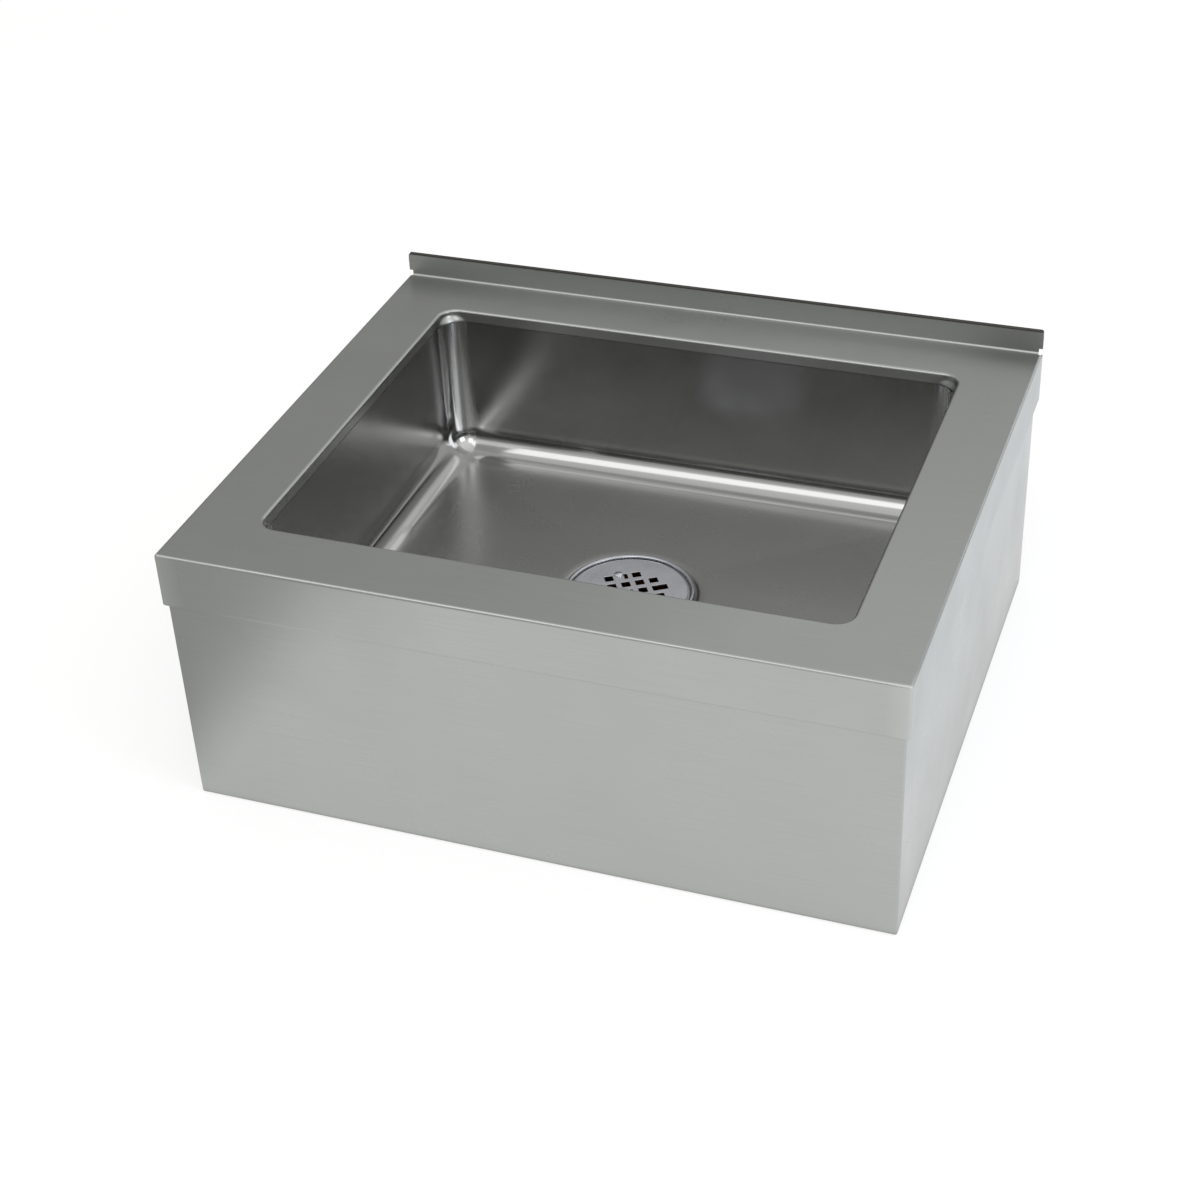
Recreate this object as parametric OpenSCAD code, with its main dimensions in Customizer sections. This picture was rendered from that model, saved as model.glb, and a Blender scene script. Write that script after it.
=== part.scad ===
// Floor-standing mop service sink, folded and welded from stainless sheet.
// Origin: middle of the base, on the floor. +X runs along the front, +Y to the back, +Z up.
// The deck carries the bowl, four skirt panels carry the deck, and the drain hangs in the bowl's floor.

/* [Overall] */
// Width of the deck along the front
overall_w = 635; // [620:1:700]
// Depth from the front apron to the back of the splash
overall_d = 533.4; // [520:0.1:600]
// Height of the deck's top above the floor
deck_h = 254; // [245:1:320]
// Thickness of the stainless sheet
sheet_t = 1.6; // [1.2:0.1:2]
// Inside radius of the sheet's bends
bend_r = 1; // [0.6:0.1:1.6]
// Radius of the upright corners of the deck and the skirt
corner_r = 2; // [1.5:0.1:2.4]

/* [Deck] */
// Depth of the aprons below the deck's top
apron_h = 50.8; // [40:0.1:70]
// Height of the closed hem folded up inside each apron
hem_h = 12.7; // [8:0.1:20]
// Air left between the two leaves of a closed hem
hem_gap = 0.2; // [0.1:0.05:0.4]
// Width of the deck to the left and right of the bowl's opening
side_border = 63.5; // [60:0.5:90]
// Width of the deck in front of the opening, and behind it with the splash
end_border = 63.5; // [60:0.5:90]
// Corner radius of the bowl opening
open_r = 16; // [12:0.5:20]
// Height of the lip turned down round the opening
lip_h = 12; // [8:0.5:16]

/* [Splash] */
// Height of the upturned splash above the deck
splash_h = 24; // [18:0.5:40]
// Height of the hem folded down behind the splash
splash_hem_h = 12; // [8:0.5:14]
// Inside radius of the bend between deck and splash
splash_bend_r = 2; // [1:0.1:3]
// Radius of the splash's top corners
splash_corner_r = 4; // [2:0.5:8]
// Width of the bend relief at each end of the splash
relief_w = 3.5; // [2:0.5:6]
// Height of the bend relief above the deck
relief_h = 5; // [3:0.5:8]

/* [Bowl] */
// Height of the edge of the bowl's floor above the ground
floor_z = 101.6; // [94:0.1:115]
// Distance that each wall leans in between the rim and the cove
wall_draft = 2; // [1:0.5:4]
// Radius of the cove between the walls and the floor
cove_r = 24; // [18:0.5:24.5]
// Corner radius of the bowl below its rim
wall_corner_r = 25; // [25:0.5:30]
// Height over which the rim's corner radius grows to the wall's
rim_blend_h = 14; // [8:1:20]
// Fall of the floor from its edge to the drain
floor_fall = 2; // [1:0.5:4]
// Depth of the drain's recess in the floor
seat_depth = 2; // [1.5:0.1:3]
// Width of the sloped edge round the recess
seat_slope = 1.5; // [1:0.25:3]

/* [Skirt] */
// Play between an apron's hem and the skirt behind it
skirt_fit = 0.1; // [0.05:0.05:0.5]
// Width of the flange that stands on the floor
foot_w = 25; // [22:0.5:30]
// Width of the flange under the deck
head_w = 19; // [15:0.5:21]
// Distance of the floor anchors inside the side panels' outer faces
anchor_in = 14; // [11:0.5:19]
// Distance of the floor anchors from the outer faces of the front and back panels
anchor_end = 63.2; // [40:0.2:110]
// Radius of the anchor holes
anchor_r = 4.5; // [3:0.25:5.5]
// Leg of the angles inside the skirt's corners
angle_leg = 28; // [22:1:34]

/* [Deck channels] */
// Sheet thickness of the channels under the deck
channel_t = 1.2; // [1:0.1:1.6]
// Height of the channels
channel_h = 14; // [10:0.5:20]
// Width of each brim that is welded to the deck
brim_w = 8; // [6:0.5:10]
// Play beside a channel, to the lip and to the skirt's flange
channel_gap = 2; // [1.5:0.5:4]
// Distance by which a channel stops short of the opening's corner
channel_short = 12; // [8:1:30]

/* [Sound pads] */
// Thickness of the sound pads
pad_t = 3; // [2:0.5:5]
// Height of the pads on the walls
pad_wall_h = 80; // [50:1:90]
// Distance from the cove up to a wall pad
pad_wall_up = 6; // [3:1:12]
// Length of the pads on the front and back walls
pad_long = 320; // [200:5:380]
// Length of the pads on the side walls
pad_short = 240; // [160:5:300]
// Length of the pads under the floor, front to back
pad_floor_d = 220; // [160:5:280]
// Width of the pads under the floor
pad_floor_w = 110; // [80:5:120]
// Distance from the drain's axis to a floor pad
pad_floor_x = 84; // [76:1:100]

/* [Drain] */
// Radius of the drain's flange
flange_r = 60.5; // [58:0.25:64]
// Thickness of the flange below the strainer
flange_t = 1.4; // [1.2:0.1:2]
// Height of the rolled rim from the flange's underside
rim_h = 5.2; // [4.6:0.1:6.5]
// Width of the rolled rim
rim_w = 5; // [4:0.25:6]
// Thickness of the putty bed under the flange
putty_t = 0.6; // [0.3:0.1:1]
// Play round the flange in its recess
seat_gap = 1.3; // [0.8:0.1:2.5]
// Outside radius of the threaded cup
cup_r = 43.2; // [41:0.1:45]
// Wall of the cup
cup_wall = 2.6; // [2:0.1:3.5]
// Length of the cup below the flange
cup_len = 42; // [38:0.5:46]
// Play round the cup in the bowl's hole
hole_gap = 1.3; // [0.6:0.1:2]
// Outside radius of the cup's outlet spigot
spigot_r = 34; // [33:0.1:36]
// Length of the outlet spigot
spigot_len = 14; // [12:0.5:18]
// Bore radius of the spigot and of the tailpiece
outlet_r = 26.25; // [24:0.25:27.5]
// Outside radius of the tailpiece
tail_r = 30.15; // [29.5:0.05:31]
// Height of the tailpiece's open end above the floor
tail_end_h = 12; // [5:0.5:20]
// Thickness of the tailpiece's flange
tail_flange_t = 2.5; // [2:0.25:4]
// Thickness of the washer between spigot and tailpiece
tail_washer_t = 2.5; // [1.5:0.25:4]
// Play round the tailpiece in the coupling nut's collar
collar_gap = 0.35; // [0.1:0.05:0.8]
// Thickness of the coupling nut's collar
collar_t = 4; // [3:0.25:6]
// Reach of the coupling nut up the spigot
nut_reach = 8; // [5:0.5:10]
// Wall of the coupling nut across its flats
nut_wall = 4; // [3:0.25:6]
// Play between a thread and its nut
thread_fit = 0.05; // [0.02:0.01:0.1]
// Height over which the cup narrows to its spigot
cup_taper_h = 6; // [4:0.5:9]
// Thickness of the cup's floor round the outlet
cup_floor_t = 3; // [2:0.25:4]
// Step from the spigot's outside in to the tailpiece's flange
tail_step = 0.5; // [0.2:0.1:1]
// Depth of the relief turned into the tailpiece below its flange
tail_relief = 0.4; // [0.2:0.1:0.8]
// Reach of that relief below the coupling nut
relief_show = 1; // [0.5:0.25:2]
// Distance of the putty inside the flange's edge
putty_in = 1; // [0.5:0.25:2]

/* [Drain clamp] */
// Outside radius of the rubber gasket
gasket_r = 57; // [54:0.5:60]
// Thickness of the rubber gasket
gasket_t = 3; // [2:0.25:5]
// Outside radius of the fibre ring
fibre_r = 54; // [51:0.5:56]
// Thickness of the fibre ring
fibre_t = 1; // [0.5:0.1:1.5]
// Play round the cup in the gasket and the fibre ring
ring_gap = 0.2; // [0.1:0.05:0.5]
// Outside radius of the locknut without its lugs
locknut_r = 51; // [49:0.5:54]
// Height of the locknut
locknut_h = 8; // [6:0.5:11]
// Count of the locknut's lugs
lug_count = 6; // [4:1:8]
// Width of a lug
lug_w = 9; // [6:0.5:12]
// Reach of a lug beyond the locknut
lug_reach = 6; // [3:0.5:8]

/* [Strainer] */
// Play between the strainer plate and the rolled rim
plate_gap = 1.2; // [0.5:0.1:1.8]
// Thickness of the strainer plate
plate_t = 1.6; // [1.2:0.1:2.2]
// Bevel round the plate's top edge
plate_bevel = 0.5; // [0.2:0.1:0.9]
// Side of the square grid openings
grid_hole = 8; // [6:0.25:9]
// Distance between grid openings
grid_pitch = 13; // [12:0.25:13.5]
// Turn of the grid about the drain's axis
grid_turn = 32; // [0:1:45]
// Width of the part openings beside the screws
part_hole_w = 3.5; // [2.5:0.25:3.5]
// Distance of a part opening off the grid's middle line
part_hole_aside = 2.9; // [2.6:0.1:3.5]
// Extra length of the two openings that a hook lifts
hook_extra = 6; // [3:0.5:7]
// Distance of a screw from the drain's axis, along the grid
screw_along = 30; // [29:0.25:31]
// Distance of a screw off the grid's middle line
screw_aside = 3; // [2:0.25:3.5]
// Radius of the screw's shank
screw_r = 2; // [1.5:0.1:2.2]
// Length of the screw below its head
screw_len = 11; // [8:0.5:13]
// Radius of the screw's head
head_r = 4.2; // [3.6:0.1:4.4]
// Height of the screw's head
head_h = 1.9; // [1.4:0.1:2.4]
// Height of the straight side below the head's dome
head_side_h = 0.7; // [0.3:0.1:1]
// Width of the slot in the screw's head
slot_w = 1; // [0.8:0.1:1.4]
// Depth of the slot in the screw's head
slot_d = 0.9; // [0.6:0.1:1.1]
// Width of the boss that takes a screw
boss_w = 11; // [9:0.5:13]
// Height of the boss
boss_h = 14; // [12:0.5:18]
// Metal between the screw and the boss's free end
boss_end = 3; // [2.5:0.25:4]

/* [Hidden] */
$fn = 96;
past = 1;                                   // how far a cut runs past a face
arc_steps = 6;                              // facets in a quarter turn of a bend
corner_steps = 8;                           // facets in a corner of the opening and the bowl
least_r = 0.2;                              // smallest radius of a corner inside the sheet
land_w = 3;                                 // flat strip of deck that the lip's sweep carries
grid_last = 2;                              // grid openings on each side of the middle one
mitre_turn = 45;                            // angle of the joint between two skirt panels

half_w = overall_w / 2;
half_d = overall_d / 2;
open_w = overall_w - 2 * side_border;       // the bowl's opening
open_d = overall_d - 2 * end_border;
bend_out = bend_r + sheet_t;                // outside radius of a bend
hem_t = 2 * sheet_t + hem_gap;              // a closed hem, across both leaves
apron_z = deck_h - apron_h;
under_deck = deck_h - sheet_t;
rim_z = deck_h - lip_h;                     // where the lip meets the bowl
lip_land = bend_out + land_w;               // reach of the lip's sweep beyond the opening
lip_seam = lip_land - land_w / 2;           // where the deck's sheet takes over from the sweep
skirt_x = half_w - hem_t - skirt_fit;       // outside faces of the skirt
skirt_y = half_d - hem_t - skirt_fit;

splash_top = deck_h + splash_h;
splash_back_y = half_d - sheet_t - hem_gap; // back face of the splash's front leaf
splash_front_y = splash_back_y - sheet_t;
splash_bend_y = splash_front_y - splash_bend_r;

drain_floor_z = floor_z - floor_fall;       // bowl floor beside the drain
seat_z = drain_floor_z - seat_depth;        // recess that the flange lies in
seat_r = flange_r + seat_gap;
hole_r = cup_r + hole_gap;
cove_top_z = floor_z + cove_r;

flange_z = seat_z + putty_t;                // underside of the flange
ledge_z = flange_z + flange_t;              // where the strainer plate lies
rim_in_r = flange_r - rim_w;
plate_r = rim_in_r - plate_gap;
plate_top = ledge_z + plate_t;
cup_in_r = cup_r - cup_wall;
cup_z = flange_z - cup_len;
spigot_z = cup_z - spigot_len;
clamp_z = seat_z - sheet_t;                 // underside of the bowl at the drain
gasket_z = clamp_z - gasket_t;
fibre_z = gasket_z - fibre_t;
locknut_z = fibre_z - locknut_h;
tail_top = spigot_z - tail_washer_t;
collar_top = tail_top - tail_flange_t;
tail_flange_r = spigot_r - tail_step;
nut_foot_z = collar_top - collar_t;
screw_places = [[-screw_aside, screw_along], [screw_aside, -screw_along]];

steel = "#a9aba9";
steel_dark = "#8b8d8b";
brass = "#b08d4a";

// ---- outlines and lofts ----

function arc(c, r, from, to, n) =
  [for (i = [0:n]) let (a = from + (to - from) * i / n) [c[0] + r * cos(a), c[1] + r * sin(a)]];

// Rounded rectangle, anticlockwise from the right side's front end
function outline(hx, hy, r, n = corner_steps) = concat(
  arc([hx - r, hy - r], r, 0, 90, n),
  arc([r - hx, hy - r], r, 90, 180, n),
  arc([r - hx, r - hy], r, 180, 270, n),
  arc([hx - r, r - hy], r, 270, 360, n));

// Circle with as many points as an outline, spread evenly
function round_outline(r, n = corner_steps) =
  [for (i = [0:4 * (n + 1) - 1]) let (a = 90 * (i + 0.5) / (n + 1)) [r * cos(a), r * sin(a)]];

function at_height(points, z) = [for (p = points) [p[0], p[1], z]];

// Closed band of rings: each ring joins the next, and the last joins the first
module ring_band(rings) {
  m = len(rings);
  n = len(rings[0]);
  polyhedron(
    points = [for (ring = rings) each ring],
    faces = [for (i = [0:m - 1]) for (j = [0:n - 1])
      let (a = i * n + j, b = i * n + (j + 1) % n)
      let (c = ((i + 1) % m) * n + (j + 1) % n, d = ((i + 1) % m) * n + j)
      each [[a, c, b], [a, d, c]]],
    convexity = 8);
}

// Solid stack of rings, highest first, closed by its first and last ring
module ring_stack(rings) {
  m = len(rings);
  n = len(rings[0]);
  polyhedron(
    points = [for (ring = rings) each ring],
    faces = concat(
      [[for (j = [0:n - 1]) n - 1 - j]],
      [[for (j = [0:n - 1]) (m - 1) * n + j]],
      [for (i = [0:m - 2]) for (j = [0:n - 1])
        let (a = i * n + j, b = i * n + (j + 1) % n)
        let (c = (i + 1) * n + (j + 1) % n, d = (i + 1) * n + j)
        each [[a, b, c], [a, c, d]]]),
    convexity = 8);
}

// Prism along X of an outline drawn in Y and Z, and along Y of one drawn in X and Z
module along_x(length) translate([-length / 2, 0, 0]) rotate([90, 0, 90]) linear_extrude(length) children();
module along_y(length) translate([0, length / 2, 0]) rotate([90, 0, 0]) linear_extrude(length) children();

module tube(r_out, r_in, z, h) translate([0, 0, z]) difference() {
  cylinder(r = r_out, h = h);
  translate([0, 0, -past]) cylinder(r = r_in, h = h + 2 * past);
}

// ---- deck ----

// Block with the deck's rounded top edges; inset by one sheet it is the space inside
module deck_block(inset, r_bend, r_corner, bottom, r_bottom, back) {
  x = half_w - inset;
  front = inset - half_d;
  top = deck_h - inset;
  intersection() {
    along_y(2 * (half_d + 2 * past)) polygon(concat(
      arc([x - r_bend, top - r_bend], r_bend, 0, 90, arc_steps),
      arc([r_bend - x, top - r_bend], r_bend, 90, 180, arc_steps),
      arc([r_bottom - x, bottom + r_bottom], r_bottom, 180, 270, arc_steps),
      arc([x - r_bottom, bottom + r_bottom], r_bottom, 270, 360, arc_steps)));
    along_x(2 * half_w) polygon(concat(
      [[back, bottom], [back, top]],
      arc([front + r_bend, top - r_bend], r_bend, 90, 180, arc_steps),
      arc([front + r_bottom, bottom + r_bottom], r_bottom, 180, 270, arc_steps)));
    translate([0, 0, bottom - past]) linear_extrude(deck_h) polygon(concat(
      [[x, back + past], [-x, back + past]],
      arc([r_corner - x, front + r_corner], r_corner, 180, 270, arc_steps),
      arc([x - r_corner, front + r_corner], r_corner, 270, 360, arc_steps)));
  }
}

// Plan of the three aprons' inside faces, open at the back
module apron_plan(inset) {
  x = half_w - inset;
  polygon([[x, half_d + past], [-x, half_d + past], [-x, inset - half_d], [x, inset - half_d]]);
}

// Everything inside the outer skin that the fold and the inner leaf of the hems don't fill
module deck_hollow() {
  inner_r = max(corner_r - sheet_t, least_r);
  difference() {
    deck_block(sheet_t, bend_r, inner_r, apron_z - 2 * past, least_r, half_d + 2 * past);
    translate([0, 0, apron_z]) linear_extrude(hem_h) difference() {
      apron_plan(sheet_t + hem_gap);
      apron_plan(hem_t);
    }
    translate([0, 0, apron_z - past]) linear_extrude(sheet_t + past) difference() {
      apron_plan(0);
      apron_plan(hem_t);
    }
  }
}

module splash() {
  fold_r = hem_t / 2;
  intersection() {
    along_x(overall_w) polygon(concat(
      [[splash_bend_y - past, deck_h]],
      arc([splash_bend_y, deck_h + splash_bend_r], splash_bend_r, 270, 360, arc_steps),
      arc([half_d - fold_r, splash_top - fold_r], fold_r, 180, 0, arc_steps),
      [[half_d, splash_top - splash_hem_h], [half_d - sheet_t, splash_top - splash_hem_h]],
      [[half_d - sheet_t, splash_top - sheet_t], [splash_back_y, splash_top - sheet_t]],
      arc([splash_bend_y, deck_h + splash_bend_r], splash_bend_r + sheet_t, 360, 270, arc_steps),
      [[splash_bend_y - past, under_deck]]));
    along_y(2 * (half_d + past)) polygon(concat(
      [[half_w, 0], [half_w, apron_z]],
      arc([half_w - splash_corner_r, splash_top - splash_corner_r], splash_corner_r, 0, 90, arc_steps),
      arc([splash_corner_r - half_w, splash_top - splash_corner_r], splash_corner_r, 90, 180, arc_steps),
      [[-half_w, 0]]));
  }
}

// Lip and bend round the opening: the sheet's section carried round the opening's outline
function lip_section() = concat(
  [[sheet_t, rim_z]],
  arc([bend_out, deck_h - bend_out], bend_r, 180, 90, arc_steps),
  [[lip_land, under_deck], [lip_land, deck_h]],
  arc([bend_out, deck_h - bend_out], bend_out, 90, 180, arc_steps),
  [[0, rim_z]]);

module opening_lip() ring_band([for (p = lip_section())
  at_height(outline(open_w / 2 + p[0], open_d / 2 + p[0], open_r + p[0]), p[1])]);

module deck_top() color(steel) {
  difference() {
    union() {
      difference() {
        deck_block(0, bend_out, corner_r, apron_z, sheet_t, half_d);
        deck_hollow();
        translate([sheet_t - half_w, splash_bend_y, under_deck - past])
          cube([overall_w - 2 * sheet_t, half_d, 3 * past + sheet_t]);
      }
      splash();
    }
    translate([0, 0, under_deck - past]) linear_extrude(sheet_t + 2 * past)
      polygon(outline(open_w / 2 + lip_seam, open_d / 2 + lip_seam, open_r + lip_seam));
    for (side = [-1, 1])
      translate([side * half_w - relief_w, splash_bend_y, deck_h - bend_out])
        cube([2 * relief_w, half_d, bend_out + relief_h]);
  }
  opening_lip();
}

// ---- bowl ----

// Rings down one face of the bowl, off = 0 inside and off = sheet_t outside
function bowl_rings(off) = concat(
  [at_height(outline(open_w / 2 + off, open_d / 2 + off, open_r + off), rim_z)],
  [let (lean = wall_draft * rim_blend_h / (rim_z - cove_top_z))
    at_height(outline(open_w / 2 - lean + off, open_d / 2 - lean + off, wall_corner_r + off),
      rim_z - rim_blend_h)],
  [for (i = [0:arc_steps])
    let (a = 90 * i / arc_steps, out = (cove_r + off) * cos(a) - cove_r)
    at_height(outline(open_w / 2 - wall_draft + out, open_d / 2 - wall_draft + out, wall_corner_r + out),
      cove_top_z - (cove_r + off) * sin(a))],
  [at_height(round_outline(seat_r + seat_slope + off), drain_floor_z - off)],
  [at_height(round_outline(seat_r + off), seat_z - off)],
  [at_height(round_outline(hole_r - past), seat_z - off)]);

function reversed(list) = [for (i = [0:len(list) - 1]) list[len(list) - 1 - i]];

module bowl() color(steel_dark) difference() {
  ring_band(concat(bowl_rings(0), reversed(bowl_rings(sheet_t))));
  translate([0, 0, seat_z - sheet_t - past]) cylinder(r = hole_r, h = sheet_t + 2 * past);
}

// Skin of one thickness over the bowl's outside, kept where the child window lies
module sound_pad() color("#2b2b2d") intersection() {
  difference() {
    ring_stack(bowl_rings(sheet_t + pad_t));
    ring_stack(bowl_rings(sheet_t));
  }
  children();
}

module wall_window(length, along, side) {
  z = cove_top_z + pad_wall_up;
  reach = (along == "x" ? open_d : open_w) / 2;
  size = along == "x" ? [length, 2 * cove_r, pad_wall_h] : [2 * cove_r, length, pad_wall_h];
  place = along == "x" ? [0, side * reach, z] : [side * reach, 0, z];
  translate(place - [size[0] / 2, size[1] / 2, 0]) cube(size);
}

module floor_window(side) {
  start = side > 0 ? pad_floor_x : -pad_floor_x - pad_floor_w;
  translate([start, -pad_floor_d / 2, seat_z - cove_r]) cube([pad_floor_w, pad_floor_d, 2 * cove_r]);
}

// ---- skirt ----

// Channel section: foot on the floor, upright web, head under the deck. x = 0 is the outside face.
module skirt_section() polygon(concat(
  [[foot_w, 0]],
  arc([bend_out, bend_out], bend_out, 270, 180, arc_steps),
  arc([bend_out, under_deck - bend_out], bend_out, 180, 90, arc_steps),
  [[head_w, under_deck], [head_w, under_deck - sheet_t]],
  arc([bend_out, under_deck - bend_out], bend_r, 90, 180, arc_steps),
  arc([bend_out, bend_out], bend_r, 180, 270, arc_steps),
  [[foot_w, sheet_t]]));

// Panel with its outside face on y = 0 and both ends mitred to meet its neighbours
module skirt_panel(length) {
  half = length / 2;
  mitre = foot_w + past;
  intersection() {
    along_x(length) skirt_section();
    linear_extrude(deck_h) polygon(concat(
      arc([corner_r - half, corner_r], corner_r, 270 - mitre_turn, 270, arc_steps),
      arc([half - corner_r, corner_r], corner_r, 270, 270 + mitre_turn, arc_steps),
      [[half - mitre, mitre], [mitre - half, mitre]]));
  }
}

module skirt_front() color(steel) translate([0, -skirt_y, 0]) skirt_panel(2 * skirt_x);
module skirt_back() color(steel) translate([0, skirt_y, 0]) rotate([0, 0, 180]) skirt_panel(2 * skirt_x);

module skirt_side(side) color(steel) difference() {
  translate([side * skirt_x, 0, 0]) rotate([0, 0, side * 90]) skirt_panel(2 * skirt_y);
  for (end = [-1, 1])
    translate([side * (skirt_x - anchor_in), end * (skirt_y - anchor_end), -past])
      cylinder(r = anchor_r, h = sheet_t + 2 * past);
}

// Angle in the corner between two webs, clear of the bends at its ends
module corner_angle(side, end) color(steel_dark)
  translate([side * (skirt_x - sheet_t), end * (skirt_y - sheet_t), bend_out])
    linear_extrude(under_deck - 2 * bend_out) polygon([
      [0, 0], [-side * angle_leg, 0], [-side * angle_leg, -end * sheet_t],
      [-side * sheet_t, -end * sheet_t], [-side * sheet_t, -end * angle_leg], [0, -end * angle_leg]]);

// ---- channels under the deck ----

// Hat section with its brims on y = 0 and its crown below, centred on x = 0
module hat_section(width) {
  w = width / 2;
  inside = w - brim_w;                      // half width between the crown's walls
  outside = inside + channel_t;
  polygon([
    [-w, 0], [-w, -channel_t], [-outside, -channel_t], [-outside, -channel_h],
    [outside, -channel_h], [outside, -channel_t], [w, -channel_t], [w, 0],
    [inside, 0], [inside, channel_t - channel_h], [-inside, channel_t - channel_h], [-inside, 0]]);
}

module deck_channel_across(end) {
  inner = open_d / 2 + bend_out + channel_gap;
  outer = skirt_y - head_w - channel_gap;
  color(steel_dark) translate([0, end * (inner + outer) / 2, under_deck])
    along_x(open_w - 2 * channel_short) hat_section(outer - inner);
}

module deck_channel_along(side) {
  inner = open_w / 2 + bend_out + channel_gap;
  outer = skirt_x - head_w - channel_gap;
  color(steel_dark) translate([side * (inner + outer) / 2, 0, under_deck])
    along_y(open_d - 2 * channel_short) hat_section(outer - inner);
}

// ---- drain ----

module drain_body() color(brass) difference() {
  union() {
    rotate_extrude() polygon(concat(
      [[cup_in_r, ledge_z], [rim_in_r, ledge_z]],
      arc([flange_r - rim_w / 2, flange_z + rim_h - rim_w / 2], rim_w / 2, 180, 0, 2 * arc_steps),
      [[flange_r, flange_z], [cup_r, flange_z], [cup_r, cup_z + cup_taper_h]],
      [[spigot_r, cup_z], [spigot_r, spigot_z], [outlet_r, spigot_z], [outlet_r, cup_z + cup_floor_t]],
      [[cup_in_r, cup_z + cup_floor_t + cup_taper_h]]));
    for (place = screw_places) rotate([0, 0, grid_turn]) screw_boss(place);
  }
  for (place = screw_places) rotate([0, 0, grid_turn])
    translate([place[0], place[1], ledge_z - boss_h - past])
      cylinder(r = screw_r + thread_fit, h = boss_h + 2 * past);
}

// Boss that stands in from the cup's wall under one screw
module screw_boss(place) intersection() {
  reach = screw_along - screw_r - boss_end;
  translate([0, 0, ledge_z - boss_h]) cylinder(r = cup_in_r + cup_wall / 2, h = boss_h);
  translate([place[0] - boss_w / 2, place[1] > 0 ? reach : -reach - cup_r, ledge_z - boss_h])
    cube([boss_w, cup_r, boss_h]);
}

module putty_ring() color("#c9c2b4") tube(flange_r - putty_in, hole_r, seat_z, putty_t);
module body_gasket() color("#26262a") tube(gasket_r, cup_r + ring_gap, gasket_z, gasket_t);
module friction_ring() color("#8c4a3a") tube(fibre_r, cup_r + ring_gap, fibre_z, fibre_t);

module locknut() color(brass) difference() {
  translate([0, 0, locknut_z]) union() {
    cylinder(r = locknut_r, h = locknut_h);
    for (i = [0:lug_count - 1]) rotate([0, 0, i * 360 / lug_count])
      translate([0, -lug_w / 2, 0]) cube([locknut_r + lug_reach, lug_w, locknut_h]);
  }
  translate([0, 0, locknut_z - past]) cylinder(r = cup_r + thread_fit, h = locknut_h + 2 * past);
}

module tail_washer() color("#26262a") tube(tail_flange_r, outlet_r, tail_top, tail_washer_t);

module tailpiece() color(brass) difference() {
  union() {
    translate([0, 0, tail_end_h]) cylinder(r = tail_r, h = nut_foot_z - relief_show - tail_end_h);
    translate([0, 0, tail_end_h]) cylinder(r = tail_r - tail_relief, h = tail_top - tail_end_h);
    translate([0, 0, collar_top]) cylinder(r = tail_flange_r, h = tail_flange_t);
  }
  translate([0, 0, tail_end_h - past]) cylinder(r = outlet_r, h = tail_top - tail_end_h + 2 * past);
}

module coupling_nut() color(brass) {
  thread_r = spigot_r + thread_fit;
  top_z = spigot_z + nut_reach;
  translate([0, 0, nut_foot_z]) difference() {
    cylinder(r = (thread_r + nut_wall) / cos(30), h = top_z - nut_foot_z, $fn = 6);
    translate([0, 0, -past]) cylinder(r = tail_r + collar_gap, h = collar_t + 2 * past);
    translate([0, 0, collar_t]) cylinder(r = thread_r, h = top_z - nut_foot_z);
  }
}

// ---- strainer ----

// Grid of square openings without its corners; the screws take part of two of them
module grid_openings() {
  for (i = [-grid_last:grid_last]) for (j = [-grid_last:grid_last])
    if (abs(i) + abs(j) < 2 * grid_last && (i * j != 0 || abs(i + j) < grid_last))
      translate([i * grid_pitch, j * grid_pitch]) square(grid_hole, center = true);
  for (s = [-1, 1]) {
    translate([s * (grid_last * grid_pitch + hook_extra / 2), 0])
      square([grid_hole + hook_extra, grid_hole], center = true);
    translate([s * part_hole_aside, s * grid_last * grid_pitch])
      square([part_hole_w, grid_hole], center = true);
  }
}

module strainer_plate() color("#9a9ca0") difference() {
  rotate_extrude() polygon([
    [0, ledge_z], [plate_r, ledge_z], [plate_r, plate_top - plate_bevel],
    [plate_r - plate_bevel, plate_top], [0, plate_top]]);
  translate([0, 0, ledge_z - past]) rotate([0, 0, grid_turn]) {
    linear_extrude(plate_t + 2 * past) grid_openings();
    for (place = screw_places)
      translate([place[0], place[1], 0]) cylinder(r = screw_r + thread_fit, h = plate_t + 2 * past);
  }
}

module strainer_screw(place) color("#c8cacc")
  rotate([0, 0, grid_turn]) translate([place[0], place[1], plate_top]) difference() {
    union() {
      rotate_extrude() polygon(concat(
        [[0, 0], [head_r, 0], [head_r, head_side_h]],
        [for (i = [1:arc_steps]) let (a = 90 * i / arc_steps)
          [head_r * cos(a), head_side_h + (head_h - head_side_h) * sin(a)]]));
      translate([0, 0, -screw_len]) cylinder(r = screw_r, h = screw_len);
    }
    translate([-head_r - past, -slot_w / 2, head_h - slot_d]) cube([2 * (head_r + past), slot_w, head_h]);
  }

deck_top();
bowl();
skirt_front();
skirt_back();
skirt_side(-1);  // skirt_left
skirt_side(1);  // skirt_right
corner_angle(-1, -1);  // corner_angle_front_left
corner_angle(1, -1);  // corner_angle_front_right
corner_angle(-1, 1);  // corner_angle_back_left
corner_angle(1, 1);  // corner_angle_back_right
deck_channel_across(-1);  // deck_channel_front
deck_channel_across(1);  // deck_channel_back
deck_channel_along(-1);  // deck_channel_left
deck_channel_along(1);  // deck_channel_right
sound_pad() wall_window(pad_long, "x", -1);  // sound_pad_wall_front
sound_pad() wall_window(pad_long, "x", 1);  // sound_pad_wall_back
sound_pad() wall_window(pad_short, "y", -1);  // sound_pad_wall_left
sound_pad() wall_window(pad_short, "y", 1);  // sound_pad_wall_right
sound_pad() floor_window(-1);  // sound_pad_floor_left
sound_pad() floor_window(1);  // sound_pad_floor_right
drain_body();
putty_ring();
body_gasket();
friction_ring();
locknut();
tail_washer();
tailpiece();
coupling_nut();
strainer_plate();
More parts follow.
